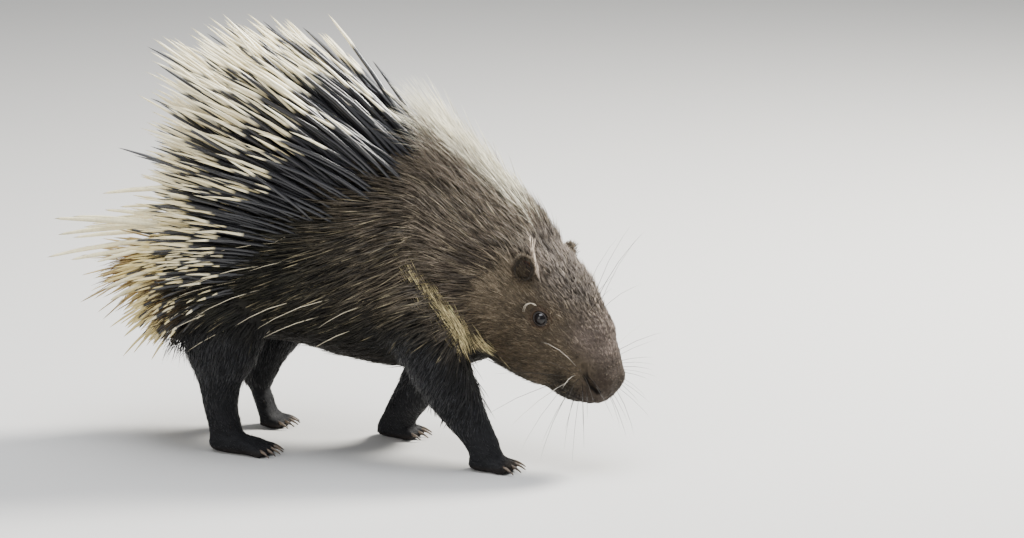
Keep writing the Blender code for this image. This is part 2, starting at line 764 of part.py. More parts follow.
def build_trunk(body, parts, scratch, skin, nape, quill):
    """Parts the neck, torso and tail, each with what grows from it."""
    rng = Random(SEED)
    point, normal = NECK_PLANE
    torso = copy_of(body, "torso", parts, skin)
    keep_side(torso, point - normal * GAP, -normal)
    keep_largest(torso)
    neck = copy_of(body, "neck", parts, nape)
    keep_side(neck, point, normal)
    point, normal = head_plane()
    keep_side(neck, point, -normal)
    keep_largest(neck)
    tail = add_object("tail", tail_form(), parts, quill)
    boolean(tail, grown(torso, "swollen_torso", scratch), "DIFFERENCE")
    keep_largest(tail)
    bpy.data.objects.remove(body)

    others = [obj for obj in parts.objects if obj != torso]
    grow(torso, "quill", quill_lie, quill_length, bears_quills, others, rng)
    grow(torso, "bristle", coat_lie, full_length, bears_bristles, others, rng)
    keep_largest(torso)
    others = [obj for obj in parts.objects if obj != neck]
    grow(neck, "crest", crest_lie, crest_length, bears_crest, others, rng)
    grow(neck, "ruff", coat_lie, full_length, bears_ruff, others, rng)
    keep_largest(neck)
    others = [obj for obj in parts.objects if obj != tail]
    grow(tail, "tail", tail_lie, full_length, bears_rattle, others, rng)
    keep_largest(tail)


def stand_at_origin(parts):
    """Moves every mesh so that the middle of the whole box's foot is at the origin."""
    places = [obj.data.vertices for obj in parts.objects]
    xs = [vert.co.x for verts in places for vert in verts]
    ys = [vert.co.y for verts in places for vert in verts]
    zs = [vert.co.z for verts in places for vert in verts]
    shift = Matrix.Translation((-(min(xs) + max(xs)) / 2, -(min(ys) + max(ys)) / 2, -min(zs)))
    for obj in parts.objects:
        obj.data.transform(shift)
        obj.data.shade_smooth()


def build():
    """Builds every node of the animal."""
    clear_scene()
    parts = add_collection("porcupine")
    scratch = add_collection("cutters")
    skin = material("bristle_coat", (0.045, 0.035, 0.028), 0.6)
    quill = material("quill", (0.30, 0.27, 0.20), 0.4)
    paw = material("paw", (0.020, 0.018, 0.017), 0.6)
    nape = material("nape_crest", (0.55, 0.50, 0.38), 0.5)
    face = material("face_fur", (0.080, 0.062, 0.050), 0.6)
    cornea = material("eye", (0.008, 0.006, 0.005), 0.1)

    trunk = [trunk_form(), head_form(), *(leg_form(name) for name in LEGS)]
    body = add_object("blended_body", join(trunk), scratch)
    remesh(body, BLEND_VOXEL, 5, BODY_TRIANGLES)
    build_feet_and_legs(body, parts, scratch, skin, paw)
    build_head(parts, scratch, face, cornea)
    build_trunk(body, parts, scratch, skin, nape, quill)
    stand_at_origin(parts)
    bpy.data.collections.remove(scratch)


build()
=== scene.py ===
# A life-size Malayan porcupine, walking with its nose held low: skin, coat, quills and finishes.
# Shapes are worked out in the animal's own frame: x ahead, y to its left, z up, in metres.
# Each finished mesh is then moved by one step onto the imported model, found from its eyes.

from math import cos, pi, radians, sin, sqrt

import bmesh
import bpy
import numpy as np
from mathutils import Matrix, Vector


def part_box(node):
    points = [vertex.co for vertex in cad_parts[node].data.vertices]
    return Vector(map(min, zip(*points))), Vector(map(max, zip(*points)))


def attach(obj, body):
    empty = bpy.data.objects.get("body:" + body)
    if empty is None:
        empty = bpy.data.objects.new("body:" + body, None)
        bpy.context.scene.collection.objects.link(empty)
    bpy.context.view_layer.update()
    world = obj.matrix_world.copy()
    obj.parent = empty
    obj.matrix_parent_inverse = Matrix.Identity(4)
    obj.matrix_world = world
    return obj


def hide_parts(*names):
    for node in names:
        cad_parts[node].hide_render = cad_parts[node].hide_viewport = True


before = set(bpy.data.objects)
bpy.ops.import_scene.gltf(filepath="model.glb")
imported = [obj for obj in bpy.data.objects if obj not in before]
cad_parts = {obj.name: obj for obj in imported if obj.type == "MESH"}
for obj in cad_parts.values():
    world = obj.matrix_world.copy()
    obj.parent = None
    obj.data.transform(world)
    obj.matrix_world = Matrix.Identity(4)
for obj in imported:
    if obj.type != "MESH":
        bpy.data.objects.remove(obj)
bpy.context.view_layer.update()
rng = np.random.default_rng(7)  # set anew before each piece of the coat, so that none hangs on another's draws

# Body measures

body = {
    "voxel": 0.0033,
    "smoothing": 7,
    "coatDepth": 0.0022,       # how far the skin lies under the solid's surface
    # x, z, half width, rise above the line, drop below it
    "trunk": (
        (-0.232, 0.196, 0.018, 0.018, 0.018),
        (-0.218, 0.193, 0.048, 0.040, 0.040),
        (-0.195, 0.190, 0.072, 0.055, 0.052),
        (-0.155, 0.196, 0.090, 0.076, 0.078),
        (-0.100, 0.208, 0.100, 0.098, 0.094),
        (-0.040, 0.216, 0.102, 0.113, 0.112),
        (0.030, 0.217, 0.097, 0.120, 0.120),
        (0.090, 0.208, 0.086, 0.110, 0.112),
        (0.140, 0.196, 0.072, 0.092, 0.090),
        (0.172, 0.186, 0.058, 0.074, 0.076),
        (0.190, 0.178, 0.040, 0.050, 0.050),
    ),
    # x, z, radius
    "tail": ((-0.205, 0.197, 0.026), (-0.235, 0.196, 0.023), (-0.262, 0.192, 0.018), (-0.282, 0.187, 0.009)),
}

head = {
    "centre": (0.182, -0.0066, 0.200),
    "pitch": radians(43),
    "turn": radians(-15),
    "eye": (0.0462, 0.0430, 0.0035),
    "eyeRadius": 0.0073,
    "ear": (0.000, 0.0470, 0.024),
    # the nostril's slit, round the back of the nose pad from its upper end
    "nostril": ((0.1134, 0.0295, -0.0002), (0.1228, 0.0285, -0.0083), (0.1336, 0.0262, -0.0112),
                (0.1424, 0.0205, -0.0133)),
    "gaze": (0.12, 1, 0.12),
    "brow": (0.0400, 0.0400, 0.0190),
    "whiskerPad": (0.1180, 0.0310, -0.0230),
    "nosePad": (0.1380, 0.0130, -0.0010),
    # distance forward, half width, top, bottom
    "stations": (
        (-0.050, 0.034, 0.016, -0.070),
        (-0.030, 0.047, 0.034, -0.088),
        (0.000, 0.0545, 0.0495, -0.098),
        (0.035, 0.0525, 0.0535, -0.094),
        (0.062, 0.0465, 0.0500, -0.086),
        (0.086, 0.0410, 0.0440, -0.075),
        (0.106, 0.0360, 0.0355, -0.067),
        (0.124, 0.0315, 0.0275, -0.0535),
        (0.136, 0.0270, 0.0190, -0.0395),
        (0.144, 0.0195, 0.0105, -0.0250),
        (0.148, 0.0090, 0.0020, -0.0135),
    ),
    "crown": 0.16,             # how much narrower the head is towards its crown
    "mouth": {"front": 0.1385, "reach": 0.0385, "height": -0.0350, "dip": 0.0140},
    # the lips' folds: how far each lies above the mouth's line, and its girth
    "lips": ((0.0070, 0.0068), (-0.0042, 0.0045)),
}

# Leg stations down to the ankle: x, distance from the middle, z, half width, reach ahead and behind
legs = {
    "rightFore": (
        (0.058, 0.058, 0.215, 0.030, 0.044, 0.044),
        (0.078, 0.068, 0.155, 0.034, 0.042, 0.042),
        (0.097, 0.067, 0.105, 0.028, 0.033, 0.033),
        (0.121, 0.065, 0.062, 0.022, 0.026, 0.026),
        (0.143, 0.064, 0.026, 0.020, 0.021, 0.020),
        (0.147, 0.064, 0.014, 0.018, 0.019, 0.018),
    ),
    "leftFore": (
        (0.050, 0.058, 0.215, 0.030, 0.044, 0.044),
        (0.054, 0.067, 0.155, 0.034, 0.041, 0.041),
        (0.048, 0.064, 0.105, 0.028, 0.032, 0.032),
        (0.026, 0.060, 0.062, 0.022, 0.025, 0.025),
        (0.003, 0.058, 0.026, 0.020, 0.020, 0.020),
        (-0.003, 0.058, 0.014, 0.018, 0.019, 0.018),
    ),
    "rightHind": (
        (-0.150, 0.056, 0.215, 0.036, 0.056, 0.052),
        (-0.154, 0.070, 0.160, 0.038, 0.054, 0.052),
        (-0.158, 0.074, 0.113, 0.032, 0.042, 0.042),
        (-0.162, 0.071, 0.080, 0.025, 0.028, 0.026),
        (-0.162, 0.068, 0.050, 0.020, 0.021, 0.021),
        (-0.157, 0.066, 0.022, 0.019, 0.021, 0.020),
    ),
    "leftHind": (
        (-0.146, 0.056, 0.215, 0.036, 0.056, 0.052),
        (-0.146, 0.070, 0.160, 0.038, 0.052, 0.052),
        (-0.148, 0.074, 0.120, 0.032, 0.037, 0.038),
        (-0.158, 0.070, 0.090, 0.025, 0.026, 0.026),
        (-0.168, 0.066, 0.064, 0.020, 0.022, 0.021),
        (-0.168, 0.065, 0.048, 0.018, 0.019, 0.018),
    ),
}

feet = {
    "toeRadius": 0.0068,
    "clawLength": 0.014,
    "clawRadius": 0.0021,
    "rightFore": dict(heel=(0.131, -0.064, 0.013), ball=(0.158, -0.063, 0.009), width=0.0195, toes=4,
                      reach=0.020, turn=-4),
    "leftFore": dict(heel=(-0.018, 0.058, 0.014), ball=(0.008, 0.058, 0.009), width=0.0195, toes=4,
                     reach=0.020, turn=4),
    "rightHind": dict(heel=(-0.168, -0.066, 0.013), ball=(-0.122, -0.069, 0.009), width=0.0205, toes=5,
                      reach=0.021, turn=-7),
    "leftHind": dict(heel=(-0.170, 0.065, 0.050), ball=(-0.155, 0.066, 0.009), width=0.0195, toes=5,
                     reach=0.021, turn=7),
}

hands = {"right": -1, "left": 1}
headTurn = Matrix.Rotation(head["turn"], 4, "Z") @ Matrix.Rotation(head["pitch"], 4, "Y")
headMatrix = Matrix.Translation(head["centre"]) @ headTurn
headAxes = np.array(headTurn.to_3x3())


def headPoint(x, y, z):
    return headMatrix @ Vector((x, y, z))


# The step from the animal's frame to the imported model's
eyeLow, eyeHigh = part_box("right_eye")
rightEye = headPoint(head["eye"][0], -head["eye"][1], head["eye"][2])
step = Matrix.Translation((eyeLow + eyeHigh) / 2 - rightEye)


# Mesh helpers

def meshOf(name, mesh):
    data = bpy.data.meshes.new(name)
    mesh.to_mesh(data)
    mesh.free()
    return data


def placed(name, data):
    made = bpy.data.objects.new(name, data)
    bpy.context.scene.collection.objects.link(made)
    return made


def finishPiece(name, data, finish):
    # a finished piece: its place is in its mesh, and it rides on the model's one body
    data.transform(step)
    data.materials.clear()
    data.materials.append(finish)
    data.shade_smooth()
    piece = placed(name, data)
    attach(piece, "root")
    return piece


def mirrored(place, hand):
    return np.array(place) * (1, hand, 1)


def eased(rows, steps):
    # the rows with more between them, on a Catmull-Rom curve
    rows = [np.array(row, float) for row in rows]
    ends = [2 * rows[0] - rows[1], *rows, 2 * rows[-1] - rows[-2]]
    found = []
    for a, b, c, d in zip(ends, ends[1:], ends[2:], ends[3:]):
        for t in np.arange(steps) / steps:
            bend = 2 * a - 5 * b + 4 * c - d
            swing = 3 * b - a - 3 * c + d
            found.append((2 * b + (c - a) * t + bend * t ** 2 + swing * t ** 3) / 2)
    return [*found, rows[-1]]


def loft(stations, side=(0, 1, 0), sides=32):
    # a closed tube through stations of centre, half width, reach above and below
    mesh = bmesh.new()
    side = Vector(side)
    centres = [Vector(station[0]) for station in stations]
    last = len(centres) - 1
    rings = []
    for i, (centre, width, rise, drop) in enumerate(stations):
        along = (centres[min(i + 1, last)] - centres[max(i - 1, 0)]).normalized()
        across = (side - side.dot(along) * along).normalized()
        up = along.cross(across)
        ring = bmesh.ops.create_circle(mesh, segments=sides, radius=1)["verts"]
        for vert in ring:
            x, y = vert.co.x, vert.co.y
            vert.co = Vector(centre) + across * (x * width) + up * (y * (rise if y > 0 else drop))
        rings.append(ring)
    loops = [list(dict.fromkeys(edge for vert in ring for edge in vert.link_edges)) for ring in rings]
    for near, far in zip(loops, loops[1:]):
        bmesh.ops.bridge_loops(mesh, edges=near + far)
    bmesh.ops.edgeloop_fill(mesh, edges=loops[0])
    bmesh.ops.edgeloop_fill(mesh, edges=loops[-1])
    mesh.normal_update()
    bmesh.ops.recalc_face_normals(mesh, faces=mesh.faces)
    return mesh


def joined(forms):
    whole = bmesh.new()
    for form in forms:
        data = meshOf("form", form)
        whole.from_mesh(data)
        bpy.data.meshes.remove(data)
    return whole


def ramp(value, low, high):
    t = np.clip((value - low) / (high - low), 0, 1)
    return t * t * (3 - 2 * t)


def unit(vectors):
    return vectors / np.maximum(np.linalg.norm(vectors, axis=-1, keepdims=True), 1e-9)


def mixed(a, b, share):
    # rows of a turning into rows of b
    share = np.asarray(share)[..., None]
    return np.asarray(a) * (1 - share) + np.asarray(b) * share


def allOf(row, points):
    # the same row for every point
    return np.broadcast_to(np.array(row), points.shape)


def inHead(points):
    # points in the head's own frame
    return (points - np.array(head["centre"])) @ headAxes


# The skin's forms

def trunkForm():
    return loft([((x, 0, z), width, rise, drop) for x, z, width, rise, drop in eased(body["trunk"], 4)])


def tailForm():
    return loft([((x, 0, z), radius, radius, radius) for x, z, radius in eased(body["tail"], 4)])


def narrowing(height):
    return 1 - head["crown"] * max(0, (height + 0.02) / 0.07) ** 2


def headForm():
    stations = []
    for x, width, top, bottom in eased(head["stations"], 4):
        half = (top - bottom) / 2
        stations.append(((x, 0, bottom + half), width, half, half))
    mesh = loft(stations, sides=40)
    for vert in mesh.verts:
        vert.co.y *= narrowing(vert.co.z)
    mesh.transform(headMatrix)
    return mesh


def mouthLine(ahead):
    # the height of the mouth at a distance forward: it dips from the front towards its corners
    mouth = head["mouth"]
    across = np.clip((mouth["front"] - ahead) / mouth["reach"], 0, 1) ** (1 / 1.8)
    return mouth["height"] - mouth["dip"] * across ** 1.5


def cheek(x, z):
    # the head's half width at a distance forward and a height
    stations = np.array(head["stations"]).T
    width, top, bottom = (np.interp(x, stations[0], row) for row in stations[1:])
    level = (2 * z - top - bottom) / (top - bottom)
    return width * sqrt(max(0, 1 - level ** 2)) * narrowing(z)


def lipForm(hand, raised, radius):
    stations = []
    for across in np.linspace(0.12, 0.85, 9):
        girth = radius * (1 - 0.35 * across)
        sunk = girth * 0.62
        x = head["mouth"]["front"] - head["mouth"]["reach"] * across ** 1.8
        z = float(mouthLine(x)) + raised
        place = headPoint(x - sunk * (1 - across), hand * max(0, cheek(x, z) - sunk), z)
        stations.append((place, girth, girth, girth))
    return loft(stations, side=headTurn.to_3x3() @ Vector((0, 0, 1)), sides=16)


def legForm(name):
    hand = -1 if name.startswith("right") else 1
    rows = eased(legs[name], 4)
    return loft([((x, hand * y, z), width, front, back) for x, y, z, width, front, back in rows], sides=24)


def toeRows(foot):
    # each toe's root, heading and reach, across the ball of a foot
    ball = Vector(foot["ball"])
    rows = []
    for k in range(foot["toes"]):
        across = (k - (foot["toes"] - 1) / 2) / ((foot["toes"] - 1) / 2)
        turn = radians(foot["turn"] + across * 13)
        ahead = Vector((cos(turn), sin(turn), 0))
        reach = foot["reach"] * (1 - 0.22 * across ** 2)
        rows.append((ball + Vector((0, across * foot["width"] * 0.74, 0)), ahead, reach))
    return rows


def footForms(foot):
    heel, ball, width, toe = Vector(foot["heel"]), Vector(foot["ball"]), foot["width"], feet["toeRadius"]
    forms = [loft([(heel + (heel - ball) * 0.15, width * 0.45, 0.009, 0.009),
                   (heel, width * 0.78, 0.013, 0.013),
                   (heel.lerp(ball, 0.5), width * 0.90, 0.0125, 0.0125),
                   (ball, width * 0.98, 0.0105, 0.0105),
                   (ball + Vector((0.008, 0, -0.001)), width * 0.86, 0.008, 0.008)], sides=24)]
    for root, ahead, reach in toeRows(foot):
        knuckle = root + ahead * reach * 0.5
        knuckle.z = toe * 0.88
        pad = root + ahead * reach
        pad.z = toe * 0.82
        forms.append(loft([(root - ahead * 0.008, toe * 0.74, toe, toe),
                           (knuckle, toe * 0.74, toe, toe),
                           (pad, toe * 0.64, toe * 0.9, toe * 0.8),
                           (pad + ahead * 0.003, toe * 0.34, toe * 0.5, toe * 0.4)],
                          side=(-ahead.y, ahead.x, 0), sides=16))
    return forms


def refine(mesh, near, cuts=1):
    # splits the edges of the faces that near picks, and smooths the new points
    edges = dict.fromkeys(edge for face in mesh.faces if near(face.calc_center_median()) for edge in face.edges)
    split = bmesh.ops.subdivide_edges(mesh, edges=list(edges), cuts=cuts, use_grid_fill=True)
    fresh = [part for part in split["geom_inner"] if isinstance(part, bmesh.types.BMVert)]
    bmesh.ops.smooth_vert(mesh, verts=fresh, factor=0.4, use_axis_x=True, use_axis_y=True, use_axis_z=True)


def fromPath(points, path):
    # how far each point is from a bent line
    nearest = np.full(len(points), 1.0)
    for a, b in zip(np.array(path), np.array(path[1:])):
        t = np.clip((points - a) @ (b - a) / ((b - a) @ (b - a)), 0, 1)
        nearest = np.minimum(nearest, np.linalg.norm(points - a - t[:, None] * (b - a), axis=1))
    return nearest


def fromNostril(local, hand):
    return fromPath(local, [mirrored(place, hand) for place in head["nostril"]])


def fromPlace(local, name, hand):
    return np.linalg.norm(local - mirrored(head[name], hand), axis=1)


def swelling(local, name, hand, reach):
    return np.exp(-(fromPlace(local, name, hand) / reach) ** 2)


def sculptHead(points, normals):
    # lids, brow, nostrils, mouth and nose pad, as moves along the skin's own normals
    local = inHead(points)
    ahead, height = local[:, 0], local[:, 2]
    move = np.zeros(len(points))
    for hand in (-1, 1):
        # the eye: a rim of lid round the ball, and a socket inside it
        outward = unit(mirrored(head["gaze"], hand))
        along = unit(np.cross((0, 0, 1), outward))
        away = local - mirrored(head["eye"], hand)
        x, y = away @ along / 1.12, away @ np.cross(outward, along) / 0.90
        ring = np.hypot(x, y) / head["eyeRadius"]
        near = (away @ outward > -0.004)
        move += near * 0.0013 * np.exp(-((ring - 1.26) / 0.22) ** 2)
        move -= near * 0.0080 * (1 - ramp(ring, 0.90, 1.14))
        move -= near * 0.0014 * np.exp(-((ring - 1.85) / 0.40) ** 2)
        move += 0.0022 * swelling(local, "brow", hand, 0.013)
        # the muzzle: whisker pads, the two lobes of the nose and the nostrils behind them
        move += 0.0016 * swelling(local, "whiskerPad", hand, 0.012)
        move += 0.0038 * swelling(local, "nosePad", hand, 0.0105)
        slit = fromNostril(local, hand)
        opening = ramp(ahead, 0.116, 0.130)
        move -= (0.0014 + 0.0046 * opening) * (1 - ramp(slit, 0.0008, 0.0040))
        move += 0.0006 * np.exp(-((slit - 0.0046) / 0.0014) ** 2)
    # the cleft down the middle of the nose to the lip
    cleft = np.exp(-(local[:, 1] / 0.0016) ** 2) * ramp(ahead, 0.128, 0.140)
    move -= 0.0018 * (cleft * (1 - ramp(height, -0.016, -0.008)))
    inMouth = ramp(ahead, 0.092, 0.104)
    move -= inMouth * 0.0034 * np.exp(-((height - mouthLine(ahead)) / 0.0015) ** 2)
    return points + normals * move[:, None]


def skinDepth(points):
    # how far the skin lies under the solids: more under long hair, none at the soles
    local = inHead(points)
    ahead, height = local[:, 0], local[:, 2]
    onHead = ramp(ahead, -0.03, 0.01)
    depth = body["coatDepth"] * (1 - onHead) + 0.0012 * onHead
    depth = depth * (1 - 0.6 * ramp(ahead, 0.11, 0.145))
    depth = depth + 0.0024 * ramp(ahead, 0.04, 0.09) * (1 - ramp(height, -0.050, -0.032))
    return depth * ramp(points[:, 2], 0.004, 0.030)


def buildSkin():
    forms = [trunkForm(), tailForm(), headForm()]
    forms += [lipForm(hand, *lip) for hand in (-1, 1) for lip in head["lips"]]
    for name in legs:
        forms += [legForm(name), *footForms(feet[name])]
    skin = placed("skin", meshOf("skin", joined(forms)))
    flow = skin.modifiers.new("flow", "REMESH")
    flow.mode = "VOXEL"
    flow.voxel_size = body["voxel"]
    soften = skin.modifiers.new("soften", "SMOOTH")
    soften.factor = 0.5
    soften.iterations = body["smoothing"]
    graph = bpy.context.evaluated_depsgraph_get()
    mesh = bmesh.new()
    mesh.from_mesh(bpy.data.meshes.new_from_object(skin.evaluated_get(graph)))
    bpy.data.objects.remove(skin)

    turned = headMatrix.inverted()
    refine(mesh, lambda place: (turned @ place).x > 0.0)
    spots = [(Vector(mirrored(place, hand)), reach) for hand in (-1, 1)
             for place, reach in ((head["eye"], 0.015), (head["nostril"][1], 0.014),
                                  (head["nostril"][2], 0.016), (head["nosePad"], 0.016))]
    refine(mesh, lambda place: any(((turned @ place) - spot).length < reach for spot, reach in spots))
    mesh.normal_update()
    points = np.array([vert.co for vert in mesh.verts])
    normals = np.array([vert.normal for vert in mesh.verts])
    points -= normals * skinDepth(points)[:, None]
    points = sculptHead(points, normals)
    points[:, 2] = np.maximum(points[:, 2], 0)          # the pads stand flat on the floor
    for vert, place in zip(mesh.verts, points):
        vert.co = place
    mesh.normal_update()
    return meshOf("skin", mesh)


# Regions of the body, each from 0 to 1, that the coat and its colours follow

def legWeights(points):
    # how much each place belongs to a leg, and to a fore leg rather than a hind one
    out, height = np.abs(points[:, 1]), points[:, 2]
    under = ramp(0.122 + 0.51 * (out - 0.030) - height, -0.030, 0.030) * ramp(out, 0.012, 0.030)
    nearest, fore = np.full(len(points), 9.0), np.zeros(len(points))
    for name, stations in legs.items():
        rows = np.array(stations)[::-1]
        x, y, width, front, back = (np.interp(height, rows[:, 2], rows[:, k]) for k in (0, 1, 3, 4, 5))
        reach = np.hypot((points[:, 0] - x) / ((front + back) / 2), (out - y) / width)
        reach = np.where(points[:, 1] * (-1 if name.startswith("right") else 1) > 0, reach, 9.0)
        # the sole reaches further ahead than the ankle
        reach = np.where(height < 0.035, np.minimum(reach, 1.0), reach)
        middle = np.abs(points[:, 0] - x)
        closer = middle < nearest
        fore = np.where(closer, float(name.endswith("Fore")), fore)
        nearest = np.minimum(nearest, np.where(reach < 9.0, middle, 9.0))
        found = 1 - ramp(reach, 1.10, 1.75)
        weight = found if name == "rightFore" else np.maximum(weight, found)
    return under * weight, fore


def pastNeck(points):
    # how far ahead of the neck's slanted root each place lies
    return (points[:, 0] - 0.124) * 0.972 + (points[:, 2] - 0.2175) * 0.235


def regions(points, normals):
    x, z = points[:, 0], points[:, 2]
    local = inHead(points)
    found = {}
    onNeck = pastNeck(points)
    found["head"] = ramp(local[:, 0], -0.030, -0.012) * ramp(onNeck, -0.01, 0.01)
    found["neck"] = ramp(onNeck, -0.045, 0.0) * (1 - found["head"]) * ramp(z, 0.06, 0.10)
    under, fore = legWeights(points)
    found["leg"] = under * (1 - found["head"]) * (1 - found["neck"] * 0.6)
    found["fore"] = fore
    found["belly"] = ramp(-normals[:, 2], 0.35, 0.75) * (1 - found["head"]) * (1 - found["leg"])
    found["rump"] = (1 - ramp(x, -0.235, -0.150)) * (1 - found["leg"])
    found["tail"] = 1 - ramp(x, -0.240, -0.228)
    # how far above the quills' lower line, and how sure a place is to bear them: the edge is ragged
    line = np.maximum(0.150, 0.150 + 0.62 * (x + 0.205))
    found["above"] = z - line
    found["mantle"] = ramp(found["above"], -0.022, 0.030) * (1 - ramp(x, 0.045, 0.090))
    return found


def unwrapOf(points):
    # where each place lies on a flat unwrap of the skin: trunk, head and legs side by side
    local = inHead(points)
    turn = np.arctan2(points[:, 1], points[:, 2] - 0.200) / (2 * pi) + 0.5
    flat = np.stack([0.02 + 0.56 * np.clip((points[:, 0] + 0.29) / 0.50, 0, 1), 0.02 + 0.46 * turn], 1)
    turn = np.arctan2(local[:, 1], local[:, 2] + 0.020) / (2 * pi) + 0.5
    onHead = np.stack([0.62 + 0.35 * np.clip((local[:, 0] + 0.05) / 0.205, 0, 1), 0.02 + 0.46 * turn], 1)
    flat = np.where((local[:, 0] > -0.02)[:, None] & (points[:, :1] > 0.11), onHead, flat)
    under, fore = legWeights(points)
    chart = (points[:, 1] > 0) * 1 + (fore > 0.5) * 2
    for k, name in enumerate(("rightHind", "leftHind", "rightFore", "leftFore")):
        rows = np.array(legs[name])
        here = (under > 0.5) & (chart == k)
        middle = np.interp(points[:, 2], rows[::-1, 2], rows[::-1, 0])
        out = np.abs(points[:, 1]) - 0.066
        turn = np.arctan2(out, points[:, 0] - middle) / (2 * pi) + 0.5
        onLeg = np.stack([0.02 + 0.25 * k + 0.20 * turn, 0.53 + 0.44 * np.clip(points[:, 2] / 0.20, 0, 1)], 1)
        flat = np.where(here[:, None], onLeg, flat)
    return flat


tones = {
    "bodyRoot": (0.010, 0.009, 0.007),
    "flank": (0.021, 0.020, 0.013),
    "bodyPale": (0.40, 0.34, 0.21),
    "shoulder": (0.120, 0.097, 0.068),
    "shoulderRoot": (0.024, 0.019, 0.015),
    "neckRoot": (0.026, 0.020, 0.016),
    "neckTip": (0.116, 0.092, 0.068),
    "necklace": (0.84, 0.70, 0.37),
    "crestRoot": (0.055, 0.042, 0.031),
    "crestTip": (0.98, 0.93, 0.74),
    "crestBrown": (0.145, 0.112, 0.078),
    "cheek": (0.094, 0.071, 0.046),
    "nape": (0.175, 0.137, 0.092),
    # brow and snout: paler than the cheeks by a painted sheen of the light from above
    "brow": (0.130, 0.107, 0.090),
    "snout": (0.142, 0.110, 0.092),
    "jaw": (0.012, 0.011, 0.008),
    "eyeRing": (0.072, 0.043, 0.027),
    "nose": (0.040, 0.028, 0.021),
    "leg": (0.006, 0.006, 0.0065),
    # legs' hair tips: dark, with a blue cast that is painted sheen
    "legTipAndSheen": (0.015, 0.016, 0.020),
    "rust": (0.27, 0.150, 0.040),
    "belly": (0.024, 0.020, 0.016),
    "pad": (0.016, 0.013, 0.012),
    # nostril: near black, the painted shade inside the nostril's opening
    "nostril": (0.004, 0.003, 0.003),
}


def coatColours(points, normals):
    # the colour of the coat over each place: at the hair's root, and towards its tip
    local = inHead(points)
    at = regions(points, normals)
    ahead, height = local[:, 0], local[:, 2]
    root = allOf(tones["bodyRoot"], points)
    tip = allOf(tones["flank"], points)
    warm = ramp(points[:, 0], -0.06, 0.08) * ramp(points[:, 2], 0.14, 0.22)
    root, tip = mixed(root, tones["shoulderRoot"], warm), mixed(tip, tones["shoulder"], warm)
    root = mixed(root, tones["neckRoot"], at["neck"])
    tip = mixed(tip, tones["neckTip"], at["neck"] * ramp(points[:, 2], 0.11, 0.17))
    root, tip = mixed(root, tones["bodyRoot"], at["belly"]), mixed(tip, tones["belly"], at["belly"])
    # the legs: near black, their tips with a blue cast of painted sheen
    root, tip = mixed(root, tones["leg"], at["leg"]), mixed(tip, tones["legTipAndSheen"], at["leg"])
    rusty = at["rump"] * (1 - ramp(points[:, 2], 0.20, 0.26)) * ramp(points[:, 2], 0.14, 0.18)
    root, tip = mixed(root, tones["rust"], rusty), mixed(tip, tones["rust"], rusty * 0.7)
    # the head: taupe cheeks, a brow and snout top paler with painted sheen of the light from above, a dark jaw, a
    # darker ring round the eye
    face = allOf(tones["cheek"], points)
    for name, share in (("nape", (1 - ramp(ahead, -0.010, 0.035)) * ramp(height, -0.060, -0.020)),
                        ("brow", ramp(height, 0.012, 0.046) * (1 - ramp(ahead, 0.06, 0.10))),
                        ("snout", ramp(height, -0.004, 0.022) * ramp(ahead, 0.06, 0.10)),
                        ("jaw", 1 - ramp(height, -0.088, -0.058)),
                        ("jaw", ramp(ahead, 0.085, 0.112) * (1 - ramp(height, -0.034, -0.012)) * 0.8),
                        ("nose", ramp(ahead, 0.118, 0.136) * 0.85)):
        face = mixed(face, tones[name], share)
    for hand in (-1, 1):
        face = mixed(face, tones["eyeRing"], (1 - ramp(fromPlace(local, "eye", hand), 0.0085, 0.0160)) * 0.8)
    root = mixed(root, face * 0.36, at["head"])
    tip = mixed(tip, face * 1.25, at["head"])
    return root, tip


def readPoints(data):
    points, normals = np.zeros((2, len(data.vertices) * 3))
    data.vertices.foreach_get("co", points)
    data.vertices.foreach_get("normal", normals)
    return points.reshape(-1, 3), normals.reshape(-1, 3)


def addLayer(data, label, values):
    # a colour or a number for each point
    kind, field = "FLOAT", "value"
    if values.ndim > 1:
        values = np.concatenate([values, np.ones((len(values), 1))], 1)
        kind, field = "FLOAT_COLOR", "color"
    data.attributes.new(label, kind, "POINT").data.foreach_set(field, values.ravel())


def colourSkin(data):
    points, normals = readPoints(data)
    root, tip = coatColours(points, normals)
    shade = mixed(root, tip, np.full(len(points), 0.25))
    local = inHead(points)
    for hand in (-1, 1):
        # bare wet skin: the nostril's slit, painted near black as the shade inside its opening, and the socket
        slit = (1 - ramp(fromNostril(local, hand), 0.0022, 0.0042)) * ramp(local[:, 0], 0.114, 0.126)
        shade = mixed(shade, tones["nostril"], slit)
        shade = mixed(shade, tones["pad"], 1 - ramp(fromPlace(local, "eye", hand), 0.0080, 0.0098))
    inMouth = ramp(local[:, 0], 0.092, 0.104) * np.exp(-((local[:, 2] - mouthLine(local[:, 0])) / 0.0016) ** 2)
    shade = mixed(shade, tones["pad"], inMouth)
    sole = 1 - ramp(points[:, 2], 0.003, 0.010)
    shade = mixed(shade, tones["pad"], sole)
    addLayer(data, "coatColour", shade)


# Scattering and growing

softHair = dict(curls=True, twist=0.5, sides=3, shape=((-0.06, 0.8), (0.30, 1.0), (0.70, 0.70)))
stiffHair = dict(curls=False, twist=0.0, sides=6, fade=(0.0, 1.0))
shortShape = ((-0.08, 0.8), (0.45, 1.0))
# how far the coat may reach, and how close to the floor
limits = {"low": (-0.384, -0.178, 0.002), "high": (0.310, 0.178, 0.500), "floor": 0.0014}


def surfaceOf(data):
    data.calc_loop_triangles()
    points, normals = readPoints(data)
    corners = np.zeros(len(data.loop_triangles) * 3, int)
    data.loop_triangles.foreach_get("vertices", corners)
    corners = corners.reshape(-1, 3)
    edges = points[corners[:, 1:]] - points[corners[:, :1]]
    areas = np.linalg.norm(np.cross(edges[:, 0], edges[:, 1]), axis=1) / 2
    return {"points": points, "normals": normals, "corners": corners, "areas": areas,
            "centres": points[corners].mean(1), "facing": unit(normals[corners].mean(1))}


